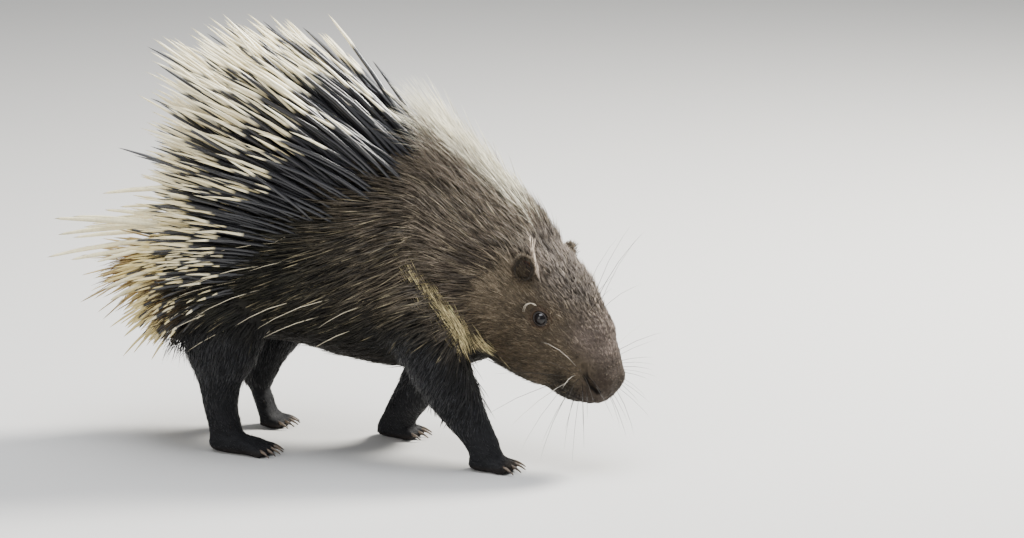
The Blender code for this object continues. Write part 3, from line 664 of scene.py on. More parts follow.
def scatter(surface, count, weight, apart=0.0):
    # places over the skin, denser where weight is larger, at most one to each cell apart wide
    share = surface["areas"] * weight(surface["centres"], surface["facing"])
    picks = rng.choice(len(share), count, p=share / share.sum())
    u, v = rng.random((2, count))
    over = u + v > 1
    u, v = np.where(over, 1 - u, u), np.where(over, 1 - v, v)
    weights = np.stack([1 - u - v, u, v], 1)[:, :, None]
    corners = surface["corners"][picks]
    points = (surface["points"][corners] * weights).sum(1)
    normals = unit((surface["normals"][corners] * weights).sum(1))
    if apart:
        cells = np.floor(points / apart).astype(int)
        kept = np.sort(np.unique(cells, axis=0, return_index=True)[1])
        points, normals = points[kept], normals[kept]
    return points, normals


def aboveFloor(points):
    return np.concatenate([points[:, :2], np.maximum(points[:, 2:], limits["floor"])], 1)


def tufts(name, points, normals, lies, lengths, look, finish, root, tip, extra=()):
    # one joined mesh of tapered, bent hairs or spines, each closed and rooted in the skin
    count = len(points)
    sides, stations = look["sides"], look["shape"]
    falls = -normals if look["curls"] else allOf((0.0, 0.0, -1.0), points)
    perp = unit(falls - lies * (falls * lies).sum(1, keepdims=True))
    bend = np.broadcast_to(look["bend"], (count,))[:, None] * rng.uniform(0.6, 1.3, (count, 1))
    turned = lies * np.cos(bend / 2) + perp * np.sin(bend / 2)
    across = unit(np.cross(normals, lies))
    up = np.cross(lies, across)
    twist = rng.uniform(-look["twist"], look["twist"], (count, 1))
    across, up = across * np.cos(twist) + up * np.sin(twist), up * np.cos(twist) - across * np.sin(twist)
    girths = rng.uniform(0.75, 1.15, (count, 1)) * look.get("girth", np.ones(count))[:, None]
    lengths = withinReach(points, turned, lengths)[:, None]
    angles = 2 * pi * (np.arange(sides) + 0.5) / sides
    rings = []
    for along, girth in stations:
        centre = points + (lies * (1 - max(along, 0)) + turned * max(along, 0)) * along * lengths
        if along < 0:
            centre = points + lies * along * lengths - normals * look["sunk"]
        centre = aboveFloor(centre)
        for angle in angles:
            rings.append(centre + across * cos(angle) * look["width"] * girth * girths
                         + up * sin(angle) * look["depth"] * girth * girths)
    rings.append(aboveFloor(points + turned * lengths))
    verts = np.stack(rings, 1)
    perTuft = verts.shape[1]
    alongs = np.array([along for along, _ in stations for _ in range(sides)] + [1.0]).clip(0, 1)

    quads = []
    for r in range(len(stations) - 1):
        for k in range(sides):
            a, b = r * sides + k, r * sides + (k + 1) % sides
            quads.append((a, b, b + sides, a + sides))
    top = (len(stations) - 1) * sides
    triangles = [(top + k, top + (k + 1) % sides, perTuft - 1) for k in range(sides)]
    base = tuple(range(sides))[::-1]
    faces = [*quads, *triangles, base]
    corners = np.concatenate([np.array(face) for face in faces])
    sizes = np.array([len(face) for face in faces])
    loops = (corners[None] + (np.arange(count) * perTuft)[:, None]).ravel()
    totals = np.tile(sizes, count)
    starts = np.concatenate([[0], totals.cumsum()[:-1]])

    data = bpy.data.meshes.new(name)
    data.vertices.add(count * perTuft)
    data.vertices.foreach_set("co", verts.ravel())
    data.loops.add(len(loops))
    data.loops.foreach_set("vertex_index", loops)
    data.polygons.add(len(totals))
    data.polygons.foreach_set("loop_start", starts)
    data.update(calc_edges=True)

    # colour from root to tip, and what the quills' bands need
    share = ramp(alongs, *look["fade"])[None, :, None]
    colour = root[:, None] * (1 - share) + tip[:, None] * share
    addLayer(data, "coatColour", colour.reshape(-1, 3))
    addLayer(data, "along", np.tile(alongs, count))
    for label, values in extra:
        addLayer(data, label, np.repeat(values, perTuft))

    # each tuft's own small patch at its root's place on the skin's unwrap
    patch = 0.003
    turn = (np.arange(perTuft) % sides) / max(sides - 1, 1) - 0.5
    uv = unwrapOf(points)[:, None] + np.stack([turn * patch, (alongs - 0.5) * patch], 1)
    data.uv_layers.new(name="OFBake").data.foreach_set("uv", uv.reshape(-1, 2)[loops].ravel())
    return finishPiece(name, data, finish)


def grow(name, points, normals, lies, lengths, look, finish, colours=None, extra=()):
    # splits a coat by side, and a dense one once more along the body, so that each piece stays light
    root, tip = colours if colours is not None else coatColours(points, normals)
    halves = (("", points[:, 0] > -9),)
    if look.get("dense"):
        middle = np.median(points[:, 0])
        halves = (("Front", points[:, 0] >= middle), ("Rear", points[:, 0] < middle))
    for side, onIt in (("Right", points[:, 1] < 0), ("Left", points[:, 1] >= 0)):
        for half, inIt in halves:
            here = onIt & inIt
            kept = dict(look, **{label: look[label][here] for label in ("girth", "bend")
                                 if isinstance(look.get(label), np.ndarray)})
            tufts(f"{name}{side}{half}", points[here], normals[here], lies[here], lengths[here], kept, finish,
                  root[here], tip[here], [(label, values[here]) for label, values in extra])


def tangent(lies, normals, lift):
    # lies laid on the skin, then raised by a slope
    flat = unit(lies - normals * (lies * normals).sum(1, keepdims=True))
    return unit(flat + normals * np.asarray(lift)[..., None])


def swayed(lies, amount):
    return unit(lies + rng.normal(0, amount, lies.shape))


def inLocks(points, lies, lengths, look):
    # draws the hairs of each lock towards its middle by their tips, and gives each lock a number
    ragged = points + rng.normal(0, look["lock"] * 0.22, points.shape)
    cells = np.floor(ragged / look["lock"]).astype(int)
    which = np.unique(cells, axis=0, return_inverse=True)[1].ravel()
    count = np.bincount(which)
    middle = np.stack([np.bincount(which, points[:, k]) for k in range(3)], 1) / count[:, None]
    away = middle[which] - points
    away -= lies * (away * lies).sum(1, keepdims=True)
    return unit(lies * lengths[:, None] + away * look["pull"]), rng.random(len(count))[which]


def uneven(colours, lock, spread, pale, share, strength):
    # tones that vary by lock and by hair, with a share of the hairs turned towards a pale tip
    root, tip = colours
    light = rng.random(len(tip)) < share
    tip = mixed(tip, pale, np.where(light, strength * rng.uniform(0.4, 1.0, len(tip)), 0.0))
    tone = ((1 - spread + 2 * spread * lock) * rng.uniform(0.62, 1.42, len(tip)))[:, None]
    return root * tone, np.minimum(tip * tone, 0.9)


def withinReach(points, lies, lengths):
    # shortens what would stand further out than the quills do
    low, high = np.array(limits["low"]), np.array(limits["high"])
    room = np.where(lies < 0, (low - points) / np.minimum(lies, -1e-6), (high - points) / np.maximum(lies, 1e-6))
    return np.minimum(lengths, np.maximum(room.min(1), 0.004))


def onSide(x, z, hand):
    # the places on one side of the skin at such distances along it and heights
    kept = np.where(surface["normals"][:, 1] * hand > 0.25)[0]
    places = surface["points"][kept]
    picks = [kept[np.argmin((places[:, 0] - a) ** 2 + (places[:, 2] - b) ** 2)] for a, b in zip(x, z)]
    return surface["points"][picks], surface["normals"][picks]


def onHeadAt(places, hand):
    # the places on the skin nearest to places given in the head's own frame
    turned = inHead(surface["points"])
    picks = [np.argmin(np.linalg.norm(turned - mirrored(place, hand), axis=1)) for place in places]
    return surface["points"][picks], surface["normals"][picks]


def coatLie(points, normals):
    # how the coat lies: back along the body, down the legs, up and back over the neck
    at = regions(points, normals)
    out = np.abs(normals[:, 1])
    lie = np.stack([-np.ones(len(points)), np.zeros(len(points)), -0.22 - 0.25 * out], 1)
    high = ramp(points[:, 2], 0.17, 0.27)
    lie = mixed(lie, mixed((-1.0, 0, -0.15), (-0.75, 0, 0.55), high), at["neck"])
    lie = mixed(lie, (-0.30, 0, -1.0), at["leg"] * (1 - 0.2 * at["fore"]))
    lie = mixed(lie, (-1.0, 0, -0.55), at["rump"] * 0.6)
    # on the head, back from the nose, turning down towards the jaw on the cheeks
    local = inHead(points)
    low = 1 - ramp(local[:, 2], -0.05, 0.02)
    facing = np.stack([-np.ones(len(points)), np.zeros(len(points)), -0.75 * low], 1) @ headAxes.T
    return mixed(lie, facing, at["head"])


# Finishes

def setInputs(tree, node, inputs):
    # each input takes a number, a colour or another node's output
    for label, value in inputs.items():
        if isinstance(value, bpy.types.NodeSocket):
            tree.links.new(value, node.inputs[label])
        else:
            node.inputs[label].default_value = value


def nodeOf(tree, kind, output, inputs, **settings):
    made = tree.nodes.new("ShaderNode" + kind)
    for label, value in settings.items():
        setattr(made, label, value)
    setInputs(tree, made, inputs)
    return made.outputs[output]


def finishOf(name, inputsOf):
    # a finish whose shader takes the inputs that a function works out in its node tree
    made = bpy.data.materials.new(name)
    made.use_nodes = True
    setInputs(made.node_tree, made.node_tree.nodes["Principled BSDF"], inputsOf(made.node_tree))
    return made


def noiseOf(tree, scale, detail, stretch=None):
    # a noise on the piece's own coordinates, drawn out along an axis where stretch is given
    place = nodeOf(tree, "TexCoord", "Object", {})
    if stretch:
        place = nodeOf(tree, "Mapping", "Vector", {"Scale": stretch, "Vector": place})
    return nodeOf(tree, "TexNoise", "Fac", {"Scale": scale, "Detail": detail, "Vector": place})


def ranged(tree, value, low, high, newLow=0.0, newHigh=1.0):
    return nodeOf(tree, "MapRange", "Result",
                  {"From Min": low, "From Max": high, "To Min": newLow, "To Max": newHigh, "Value": value})


def attributeOf(tree, name, output="Fac"):
    return nodeOf(tree, "Attribute", output, {}, attribute_name=name)


def scaledColour(tree, colour, factor):
    return nodeOf(tree, "VectorMath", "Vector", {0: colour, "Scale": factor}, operation="SCALE")


def mixColour(tree, factor, *colours):
    first, second = ((*colour, 1) if isinstance(colour, tuple) else colour for colour in colours)
    return nodeOf(tree, "Mix", 2, {"Factor": factor, 6: first, 7: second}, data_type="RGBA")


def bumped(tree, height, strength, distance):
    return nodeOf(tree, "Bump", "Normal", {"Strength": strength, "Distance": distance, "Height": height})


def skinFinish():
    def inputsOf(tree):
        streak = noiseOf(tree, 260, 5, (0.35, 1, 1))
        tone = ranged(tree, streak, 0.3, 0.7, 0.65, 1.30)
        return {"Base Color": scaledColour(tree, attributeOf(tree, "coatColour", "Color"), tone),
                "Normal": bumped(tree, streak, 0.6, 0.0012), "Roughness": 0.75, "Specular IOR Level": 0.18}
    return finishOf("skinUnderCoat", inputsOf)


def hairFinish(name, roughness, sheen, spread):
    def inputsOf(tree):
        # broad patches, and finer grain within them
        colour = attributeOf(tree, "coatColour", "Color")
        for scale, part in ((45, spread), (320, spread * 0.8)):
            colour = scaledColour(tree, colour, ranged(tree, noiseOf(tree, scale, 3), 0.35, 0.65, 1 - part, 1 + part))
        return {"Base Color": colour, "Roughness": roughness, "Sheen Weight": sheen, "Sheen Roughness": 0.4,
                "Specular IOR Level": 0.24}
    return finishOf(name, inputsOf)


def grainFinish(name, grain, span, dark, light, bump=None, **others):
    # two tones over a grain, which may also stand out
    def inputsOf(tree):
        noise = noiseOf(tree, *grain)
        inputs = {"Base Color": mixColour(tree, ranged(tree, noise, *span), dark, light)}
        if bump:
            inputs["Normal"] = bumped(tree, noise, *bump)
        return inputs | {label.replace("_", " "): value for label, value in others.items()}
    return finishOf(name, inputsOf)


quillTones = {
    # the quills' black, with a slight blue cast that is painted sheen
    "dark": (0.021, 0.021, 0.024),
    "pale": (0.96, 0.90, 0.69),
    "warm": (0.74, 0.60, 0.26),
}


def quillFinish():
    # pale root, black middle and cream end, each quill with its own band edges; the black's slight blue cast is painted
    # sheen
    def inputsOf(tree):
        along = attributeOf(tree, "along")
        pastRoot, pastDark = (ranged(tree, nodeOf(tree, "Math", 0, {0: along, 1: attributeOf(tree, label)},
                                                  operation="SUBTRACT"), -0.015, 0.03)
                              for label in ("rootEdge", "paleEdge"))
        colour = mixColour(tree, pastRoot, attributeOf(tree, "coatColour", "Color"), quillTones["dark"])
        stain = ranged(tree, noiseOf(tree, 90, 3), 0.4, 0.7, 0.0, 0.35)
        pale = mixColour(tree, stain, quillTones["pale"], quillTones["warm"])
        pale = mixColour(tree, attributeOf(tree, "warm"), pale, quillTones["warm"])
        return {"Base Color": mixColour(tree, pastDark, colour, pale),
                "Roughness": ranged(tree, noiseOf(tree, 900, 2), 0.3, 0.7, 0.26, 0.42),
                "Coat Weight": 0.25, "Coat Roughness": 0.2}
    return finishOf("bandedQuill", inputsOf)


skinLook, quillLook = skinFinish(), quillFinish()
furLook = hairFinish("shortFur", 0.60, 0.0, 0.30)
bristleLook = hairFinish("bristles", 0.48, 0.0, 0.30)
legLook = hairFinish("legFur", 0.40, 0.10, 0.20)
crestLook = hairFinish("crestHair", 0.45, 0.15, 0.10)
whiskerLook = hairFinish("whiskers", 0.35, 0.0, 0.05)
hookLook = grainFinish("browHook", (500, 2), (0.35, 0.65), (0.46, 0.40, 0.31), (0.62, 0.56, 0.46), Roughness=0.45)
eyeLook = grainFinish("wetEye", (220, 2), (0.4, 0.7), (0.004, 0.004, 0.005), (0.012, 0.008, 0.007),
                      Roughness=0.07, Specular_IOR_Level=0.32)
lidLook = grainFinish("lidRim", (700, 3), (0.35, 0.65), (0.010, 0.008, 0.008), (0.026, 0.019, 0.017),
                      bump=(0.4, 0.0003), Roughness=0.45)
earLook = grainFinish("earSkin", (300, 4), (0.3, 0.7), (0.010, 0.008, 0.007), (0.030, 0.021, 0.017),
                      bump=(0.5, 0.0006), Roughness=0.6, Subsurface_Weight=0.05)
hornLook = grainFinish("clawHorn", (420, 4, (0.25, 1, 1)), (0.35, 0.65), (0.030, 0.022, 0.018), (0.15, 0.11, 0.075),
                       bump=(0.3, 0.0004), Roughness=0.42)
floorLook = finishOf("paleFloor", lambda tree: {"Base Color": (0.53, 0.525, 0.515, 1), "Roughness": 0.85})

# Skin

skinData = buildSkin()
surface = surfaceOf(skinData)
colourSkin(skinData)
skin = finishPiece("skin", skinData, skinLook)
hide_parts("head", "neck", "torso", "tail", *(f"{side}_{end}_{part}" for side in ("right", "left")
            for end in ("fore", "hind") for part in ("leg", "foot")))
print("skin:", len(skinData.polygons), "faces")


# Eyes and lids

lids = {"thickness": 0.0008, "stretch": 1.08, "height": 0.92, "standsOut": 0.36}


def eyeForm(hand):
    # a ball whose front bulges a little, as a cornea does
    mesh = bmesh.new()
    bmesh.ops.create_uvsphere(mesh, u_segments=40, v_segments=24, radius=head["eyeRadius"])
    outward = Vector(mirrored(head["gaze"], hand)).normalized()
    for vert in mesh.verts:
        front = max(0, vert.co.normalized().dot(outward))
        vert.co += outward * 0.0005 * front ** 6
    mesh.transform(headMatrix @ Matrix.Translation(mirrored(head["eye"], hand)))
    return mesh


def lidForm(hand):
    # the wet rim of the lids: a thin almond ring lying on the ball
    middle = Vector(mirrored(head["eye"], hand))
    outward = Vector(mirrored(head["gaze"], hand)).normalized()
    along = Vector((0, 0, 1)).cross(outward).normalized()
    up = outward.cross(along)
    mesh = bmesh.new()
    section = bmesh.ops.create_circle(mesh, segments=10, radius=lids["thickness"])["verts"]
    for vert in section:
        vert.co = Vector((head["eyeRadius"] * 0.97 + vert.co.x, 0, vert.co.y))
    bmesh.ops.spin(mesh, geom=[*mesh.verts, *mesh.edges], cent=(0, 0, 0), axis=(0, 0, 1), angle=2 * pi,
                   steps=48, use_merge=True)
    for vert in mesh.verts:
        x, y, z = vert.co
        vert.co = (middle + along * (x * lids["stretch"]) + up * (y * lids["height"])
                   + outward * (z + head["eyeRadius"] * lids["standsOut"]))
    mesh.transform(headMatrix)
    mesh.normal_update()
    bmesh.ops.recalc_face_normals(mesh, faces=mesh.faces)
    return mesh


for side, hand in hands.items():
    eye = finishPiece(f"{side}EyeBall", meshOf("eye", eyeForm(hand)), eyeLook)
    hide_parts(f"{side}_eye")
    finishPiece(f"{side}Lids", meshOf("lids", lidForm(hand)), lidLook)
print("eyes and lids")


# Ears, with short fur on their backs and rims

ears = {"height": 0.026, "width": 0.0215, "dish": 0.011, "wall": 0.0012}
earFur = dict(softHair, count=2000, length=0.0085, width=0.00038, depth=0.00022, sunk=0.0006, bend=radians(16),
              fade=(0.0, 0.9), shape=((-0.05, 0.8), (0.45, 1.0)))


def earFrame(hand):
    lean = Vector((0.42, hand * 0.86, 0.28)).normalized()
    upright = Vector((-0.50, hand * 0.30, 0.80))
    up = (upright - lean * upright.dot(lean)).normalized()
    turn = Matrix((up.cross(lean), up, lean)).transposed().to_4x4()
    middle = Vector(mirrored(head["ear"], hand)) + up * ears["height"] * 0.22
    return headMatrix @ Matrix.Translation(middle) @ turn


def earForm(hand):
    # a dished shell with a rolled edge
    mesh = bmesh.new()
    bmesh.ops.create_uvsphere(mesh, u_segments=36, v_segments=24, radius=1)
    bmesh.ops.bisect_plane(mesh, geom=[*mesh.verts, *mesh.edges, *mesh.faces], plane_co=(0, 0, 0.08),
                           plane_no=(0, 0, 1), clear_outer=True)
    for vert in mesh.verts:
        x, y, z = vert.co
        edge = max(0, (z + 0.35) / 0.43)
        vert.co = Vector((x * ears["width"] / 2 * (1 - 0.10 * edge ** 2),
                          y * ears["height"] / 2 * (1 - 0.06 * edge ** 2), z * ears["dish"]))
    mesh.normal_update()
    bmesh.ops.solidify(mesh, geom=mesh.faces, thickness=ears["wall"])
    # the operators above leave their points in any order, and the hair's draws go by that order
    mesh.verts.sort(key=lambda vert: vert.co.dot((1.0, 1.618, 2.718)))
    mesh.faces.sort(key=lambda face: face.calc_center_median().dot((1.0, 1.618, 2.718)))
    mesh.transform(earFrame(hand))
    mesh.normal_update()
    bmesh.ops.recalc_face_normals(mesh, faces=mesh.faces)
    return mesh


def furOnEar(side, hand, data):
    ear = surfaceOf(data)
    turned, middle = np.array(earFrame(hand).to_3x3()), np.array(earFrame(hand).translation)

    def fromMiddle(places):
        out = places - middle
        return out - (out @ turned[:, 2])[:, None] * turned[:, 2]

    def atRim(places):
        return ramp(np.linalg.norm(fromMiddle(places), axis=1), 0.0078, 0.0098)

    def onEar(places, facing):
        return 0.25 + (facing @ turned[:, 2] < 0.4) + 2.2 * atRim(places)

    points, normals = scatter(ear, earFur["count"], onEar)
    along = 0.7 * turned[:, 1] - 0.3 * turned[:, 0] + 0.8 * unit(fromMiddle(points))
    lies = swayed(tangent(along, normals, 0.22), 0.20)
    lengths = earFur["length"] * rng.uniform(0.6, 1.1, len(points))
    root = allOf(np.array(tones["jaw"]) * 0.4, points)
    # tips inside the ear's cup dimmed to 0.15: painted shade of the hollow
    outOfCupShade = np.maximum(atRim(points), normals @ turned[:, 2] < 0.2)[:, None]
    tip = np.array(tones["cheek"]) * rng.uniform(0.5, 1.6, (len(points), 1)) * (0.15 + 0.85 * outOfCupShade)
    tufts(f"{side}EarFur", points, normals, lies, lengths, earFur, furLook, root, tip)


# a streak of pale hairs in front of each ear, from its lower end to its upper one in the head's frame: partly pale
# hair, partly a painted highlight along the ridge there

earStreakAndHighlight = dict(softHair, count=64, low=(0.0190, 0.0440, 0.0310), high=(-0.0180, 0.0300, 0.0430), length=0.0200,
                 width=0.00036, depth=0.00024, sunk=0.0008, bend=radians(14), fade=(0.0, 0.6), tone=(0.70, 0.58, 0.47))


def streakBy(side, hand):
    low, high = (mirrored(earStreakAndHighlight[end], hand) for end in ("low", "high"))
    places = mixed(low, high, rng.random(earStreakAndHighlight["count"])) + rng.normal(0, 0.0007, (earStreakAndHighlight["count"], 3))
    points, normals = onHeadAt(mirrored(places, hand), hand)
    lies = swayed(tangent(allOf(headAxes @ (high - low), points), normals, 0.62), 0.08)
    lengths = earStreakAndHighlight["length"] * rng.uniform(0.6, 1.1, len(points))
    tip = np.array(earStreakAndHighlight["tone"]) * rng.uniform(0.5, 1.1, (len(points), 1))
    tufts(f"{side}EarStreakAndHighlight", points, normals, lies, lengths, earStreakAndHighlight, furLook, tip * 0.3, tip)


for side, hand in hands.items():
    form = meshOf("ear", earForm(hand))
    furOnEar(side, hand, form)
    ear = finishPiece(f"{side}EarCup", form, earLook)
    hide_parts(f"{side}_ear")
    streakBy(side, hand)
print("ears")


# Claws

def clawForm(root, ahead, reach):
    tip = (root + ahead * reach).xy.to_3d()
    stations = []
    for t in np.linspace(0, 1, 8):
        centre = tip + ahead * (feet["clawLength"] * t - 0.003) + Vector((0, 0, 0.0080 - 0.0058 * t ** 2))
        radius = feet["clawRadius"] * (1 - 0.72 * t ** 1.3)
        stations.append((centre, radius * 0.8, radius, radius))
    return loft(stations, side=(-ahead.y, ahead.x, 0), sides=12)


claws = joined([clawForm(*row) for name in legs for row in toeRows(feet[name])])
finishPiece("claws", meshOf("claws", claws), hornLook)
print("claws")


# Short fur of the head

rng = np.random.default_rng(11)

headFur = dict(softHair, count=36500, length=0.0120, width=0.00042, depth=0.00021, sunk=0.0010, dense=True,
               bend=radians(26), fade=(0.0, 0.85), shape=shortShape, lock=0.0060, pull=1.0)


def fromEar(local):
    # how far each place is from the nearer ear's middle
    rise = np.array((-0.0035, 0.0, 0.0045))
    return np.minimum(*(fromPlace(local - rise, "ear", hand) for hand in (-1, 1)))


def onFace(points, normals):
    # none on the eyes, the nostrils, the lips' line or in the ears' cups
    local = inHead(points)
    ahead, height = local[:, 0], local[:, 2]
    weight = regions(points, normals)["head"]
    for hand in (-1, 1):
        weight = weight * ramp(fromPlace(local, "eye", hand), 0.0080, 0.0095)
        weight = weight * ramp(fromNostril(local, hand), 0.0030, 0.0042)
    inMouth = ramp(ahead, 0.095, 0.106) * (1 - ramp(np.abs(height - mouthLine(ahead)), 0.001, 0.002))
    denser = 1 + 0.8 * ramp(ahead, 0.08, 0.11) + 1.4 * ramp(ahead, 0.112, 0.130)
    return weight * (1 - inMouth) * ramp(fromEar(local), 0.007, 0.010) * denser


points, normals = scatter(surface, headFur["count"], onFace)
local = inHead(points)
ahead, height = local[:, 0], local[:, 2]
snout = ramp(ahead, 0.03, 0.125)
lengths = headFur["length"] * (1 - 0.56 * snout) * rng.uniform(0.7, 1.15, len(points))
lengths *= 1 + 0.6 * (1 - ramp(ahead, -0.02, 0.03)) + 0.25 * (1 - ramp(height, -0.09, -0.04))
# shorter close to the eye, so that nothing hangs over it
lengths *= 0.45 + 0.55 * ramp(np.minimum(fromPlace(local, "eye", -1), fromPlace(local, "eye", 1)), 0.009, 0.020)
lengths *= 1 - 0.45 * ramp(ahead, 0.114, 0.136)
lengths *= 0.35 + 0.65 * ramp(np.minimum(fromNostril(local, -1), fromNostril(local, 1)), 0.004, 0.013)
crown = ramp(height, 0.020, 0.045) * (1 - ramp(ahead, 0.06, 0.10))
lengths *= 1 + 0.35 * crown + 0.80 * (1 - ramp(fromEar(local), 0.010, 0.022))
lies = swayed(tangent(coatLie(points, normals), normals, 0.26 + 0.26 * crown), 0.09 + 0.05 * crown[:, None])
lies, lock = inLocks(points, lies, lengths, headFur)
headFur["girth"] = 1 - 0.35 * snout
light = 0.20 * ramp(height, -0.070, -0.020) * (1 - 0.6 * ramp(ahead, 0.10, 0.13))
colours = uneven(coatColours(points, normals), lock, 0.34, (0.46, 0.38, 0.27), light, 0.55)
grow("headFur", points, normals, lies, lengths, headFur, furLook, colours)
print("head fur:", len(points))


# Fur of the neck and throat, with the pale necklace

rng = np.random.default_rng(12)

neckFur = dict(softHair, count=15800, length=0.034, width=0.00062, depth=0.00030, sunk=0.0015, bend=radians(20),
               fade=(0.1, 0.85), lock=0.011, pull=0.9)


def onNeck(points, normals):
    at = regions(points, normals)
    return at["neck"] * (1 - at["leg"])


points, normals = scatter(surface, neckFur["count"], onNeck)
high = ramp(points[:, 2], 0.20, 0.29)
lengths = neckFur["length"] * rng.uniform(0.7, 1.2, len(points)) * (1 + 0.35 * high)
lies = swayed(tangent(coatLie(points, normals), normals, 0.20 + 0.12 * high), 0.09)
lies, lock = inLocks(points, lies, lengths, neckFur)
light = 0.16 * ramp(points[:, 2], 0.16, 0.22)
root, tip = uneven(coatColours(points, normals), lock, 0.35, (0.44, 0.37, 0.25), light, 0.6)
grow("neckFur", points, normals, lies, lengths, neckFur, bristleLook, (root, tip))
print("neck fur:", len(points))


# The pale half ring across the throat: a fringe that hangs down and forward from the shoulder's edge

rng = np.random.default_rng(13)

# x grows by the slope as z falls from its upper end to its lower one
necklace = dict(softHair, count=2100, length=0.023, width=0.00045, depth=0.00026, sunk=0.0010, bend=radians(20),
                fade=(0.05, 0.55), lock=0.007, pull=0.3, halfWidth=0.0105, x=0.056, slope=0.70, high=0.240, low=0.118)


def onNecklace(points, normals):
    x, z = points[:, 0], points[:, 2]
    fall = necklace["high"] - z
    line = necklace["x"] + necklace["slope"] * fall + 0.006 * ramp(fall, 0.04, 0.11)
    span = ramp(z, necklace["low"], necklace["low"] + 0.03) * ramp(normals[:, 2], -0.90, -0.45)
    span = span * (1 - ramp(z, necklace["high"] - 0.060, necklace["high"] + 0.015))
    halfWidth = necklace["halfWidth"] * (1 - 0.35 * ramp(fall, 0.05, 0.11))
    return np.exp(-((x - line) / halfWidth) ** 2) * span * (x > 0.04)


points, normals = scatter(surface, necklace["count"], onNecklace)
lengths = necklace["length"] * rng.uniform(0.6, 1.15, len(points))
lies = swayed(tangent(allOf((0.55, 0.0, -0.80), points), normals, 0.28), 0.09)
lies, lock = inLocks(points, lies, lengths, necklace)
root = allOf(tones["neckTip"], points)
tip = np.array(tones["necklace"]) * (rng.uniform(0.06, 1.15, (len(points), 1)) * (0.75 + 0.4 * lock[:, None]))
grow("necklace", points, normals, lies, lengths, necklace, bristleLook, (root, np.minimum(tip, 0.9)))
print("necklace:", len(points))


# Flat bristles of the shoulders, flanks, haunches and belly

rng = np.random.default_rng(14)

bristles = dict(softHair, count=23500, length=0.044, width=0.00082, depth=0.00036, sunk=0.0020, dense=True,
                bend=radians(18), fade=(0.30, 0.95), lock=0.013, pull=0.8)


def onTrunk(points, normals):
    at = regions(points, normals)
    bare = (1 - at["leg"] * 0.85) * ramp(points[:, 2], 0.05, 0.10)
    return (1 - at["head"]) * (1 - 0.75 * at["neck"]) * (1 - 0.35 * at["mantle"]) * bare


def quillLie(points, normals):
    x, z = points[:, 0], points[:, 2]
    # raised over the shoulders, level at the rump, fanned sideways
    low = np.maximum(0.205 - z, 0)
    lift = np.radians(14 + 50 * (x + 0.10) + 360 * (z - 0.22) - 500 * low)
    lift = np.clip(lift, radians(-36), radians(48))
    return unit(np.stack([-np.cos(lift), normals[:, 1] * 0.40, np.sin(lift)], 1))


points, normals = scatter(surface, bristles["count"], onTrunk)
x, z = points[:, 0], points[:, 2]
at = regions(points, normals)
# towards the mantle the bristles lengthen and start to lie as the quills do
near = ramp(at["above"], -0.055, 0.020) * (1 - ramp(x, 0.08, 0.12))
lengths = bristles["length"] * rng.uniform(0.65, 1.2, len(points)) * (1 - 0.35 * at["neck"]) * (1 - 0.40 * at["belly"])
lengths *= (1 - 0.5 * at["leg"]) * (1 + 0.45 * near)
lies = tangent(coatLie(points, normals), normals, 0.16 + 0.06 * near)
lies = swayed(unit(mixed(lies, quillLie(points, normals), 0.55 * near)), 0.07)
lies, lock = inLocks(points, lies, lengths, bristles)
light = 0.11 * ramp(z, 0.13, 0.18)
root, tip = uneven(coatColours(points, normals), lock, 0.40, tones["bodyPale"], light, 0.8)
grow("bristles", points, normals, lies, lengths, bristles, bristleLook, (root, tip))
print("bristles:", len(points))


# Short dark fur of the legs and feet

rng = np.random.default_rng(15)

legFur = dict(softHair, count=16000, length=0.0120, width=0.00050, depth=0.00026, sunk=0.0012, bend=radians(20),
              fade=(0.3, 0.95), shape=shortShape, lock=0.007, pull=0.5)


def onLegs(points, normals):
    z = points[:, 2]
    at = regions(points, normals)
    bare = ramp(z, 0.005, 0.010) * (1 - ramp(-normals[:, 2], 0.55, 0.85) * (z < 0.03))
    return at["leg"] * bare * (1 + 0.6 * (z < 0.04))


points, normals = scatter(surface, legFur["count"], onLegs)
z = points[:, 2]
at = regions(points, normals)
low = 1 - ramp(z, 0.015, 0.075)
high = ramp(z, 0.075, 0.120)
lengths = legFur["length"] * (1 - 0.62 * low) * (1 + 0.8 * high) * rng.uniform(0.7, 1.2, len(points))
downFoot = mixed(coatLie(points, normals), (0.9, 0, -0.6), low)
lies = swayed(tangent(downFoot, normals, 0.14), 0.07)
lies, lock = inLocks(points, lies, lengths, legFur)
legFur["girth"] = 1 - 0.4 * low
# bluish grey tips on a share of the hairs, most on the fore legs: painted sheen streaks on the dark fur
light = 0.05 + 0.20 * at["fore"] * ramp(z, 0.02, 0.06)
colours = uneven(coatColours(points, normals), lock, 0.30, (0.13, 0.14, 0.18), light, 0.5)
grow("legFur", points, normals, lies, lengths, legFur, legLook, colours)
print("leg fur:", len(points))


# Quills of the back

rng = np.random.default_rng(16)

quills = dict(stiffHair, tries=30000, apart=0.0069, length=0.214, width=0.00250, depth=0.00250, sunk=0.006,
              edge=-0.246, darkBelow=0.412, bend=radians(18),
              shape=((-0.03, 0.5), (0.06, 0.70), (0.28, 0.94), (0.55, 1.0), (0.80, 0.76), (0.94, 0.38)))


def onMantle(points, normals):
    at = regions(points, normals)
    return (at["mantle"] > 0.02) * (1 - at["tail"])


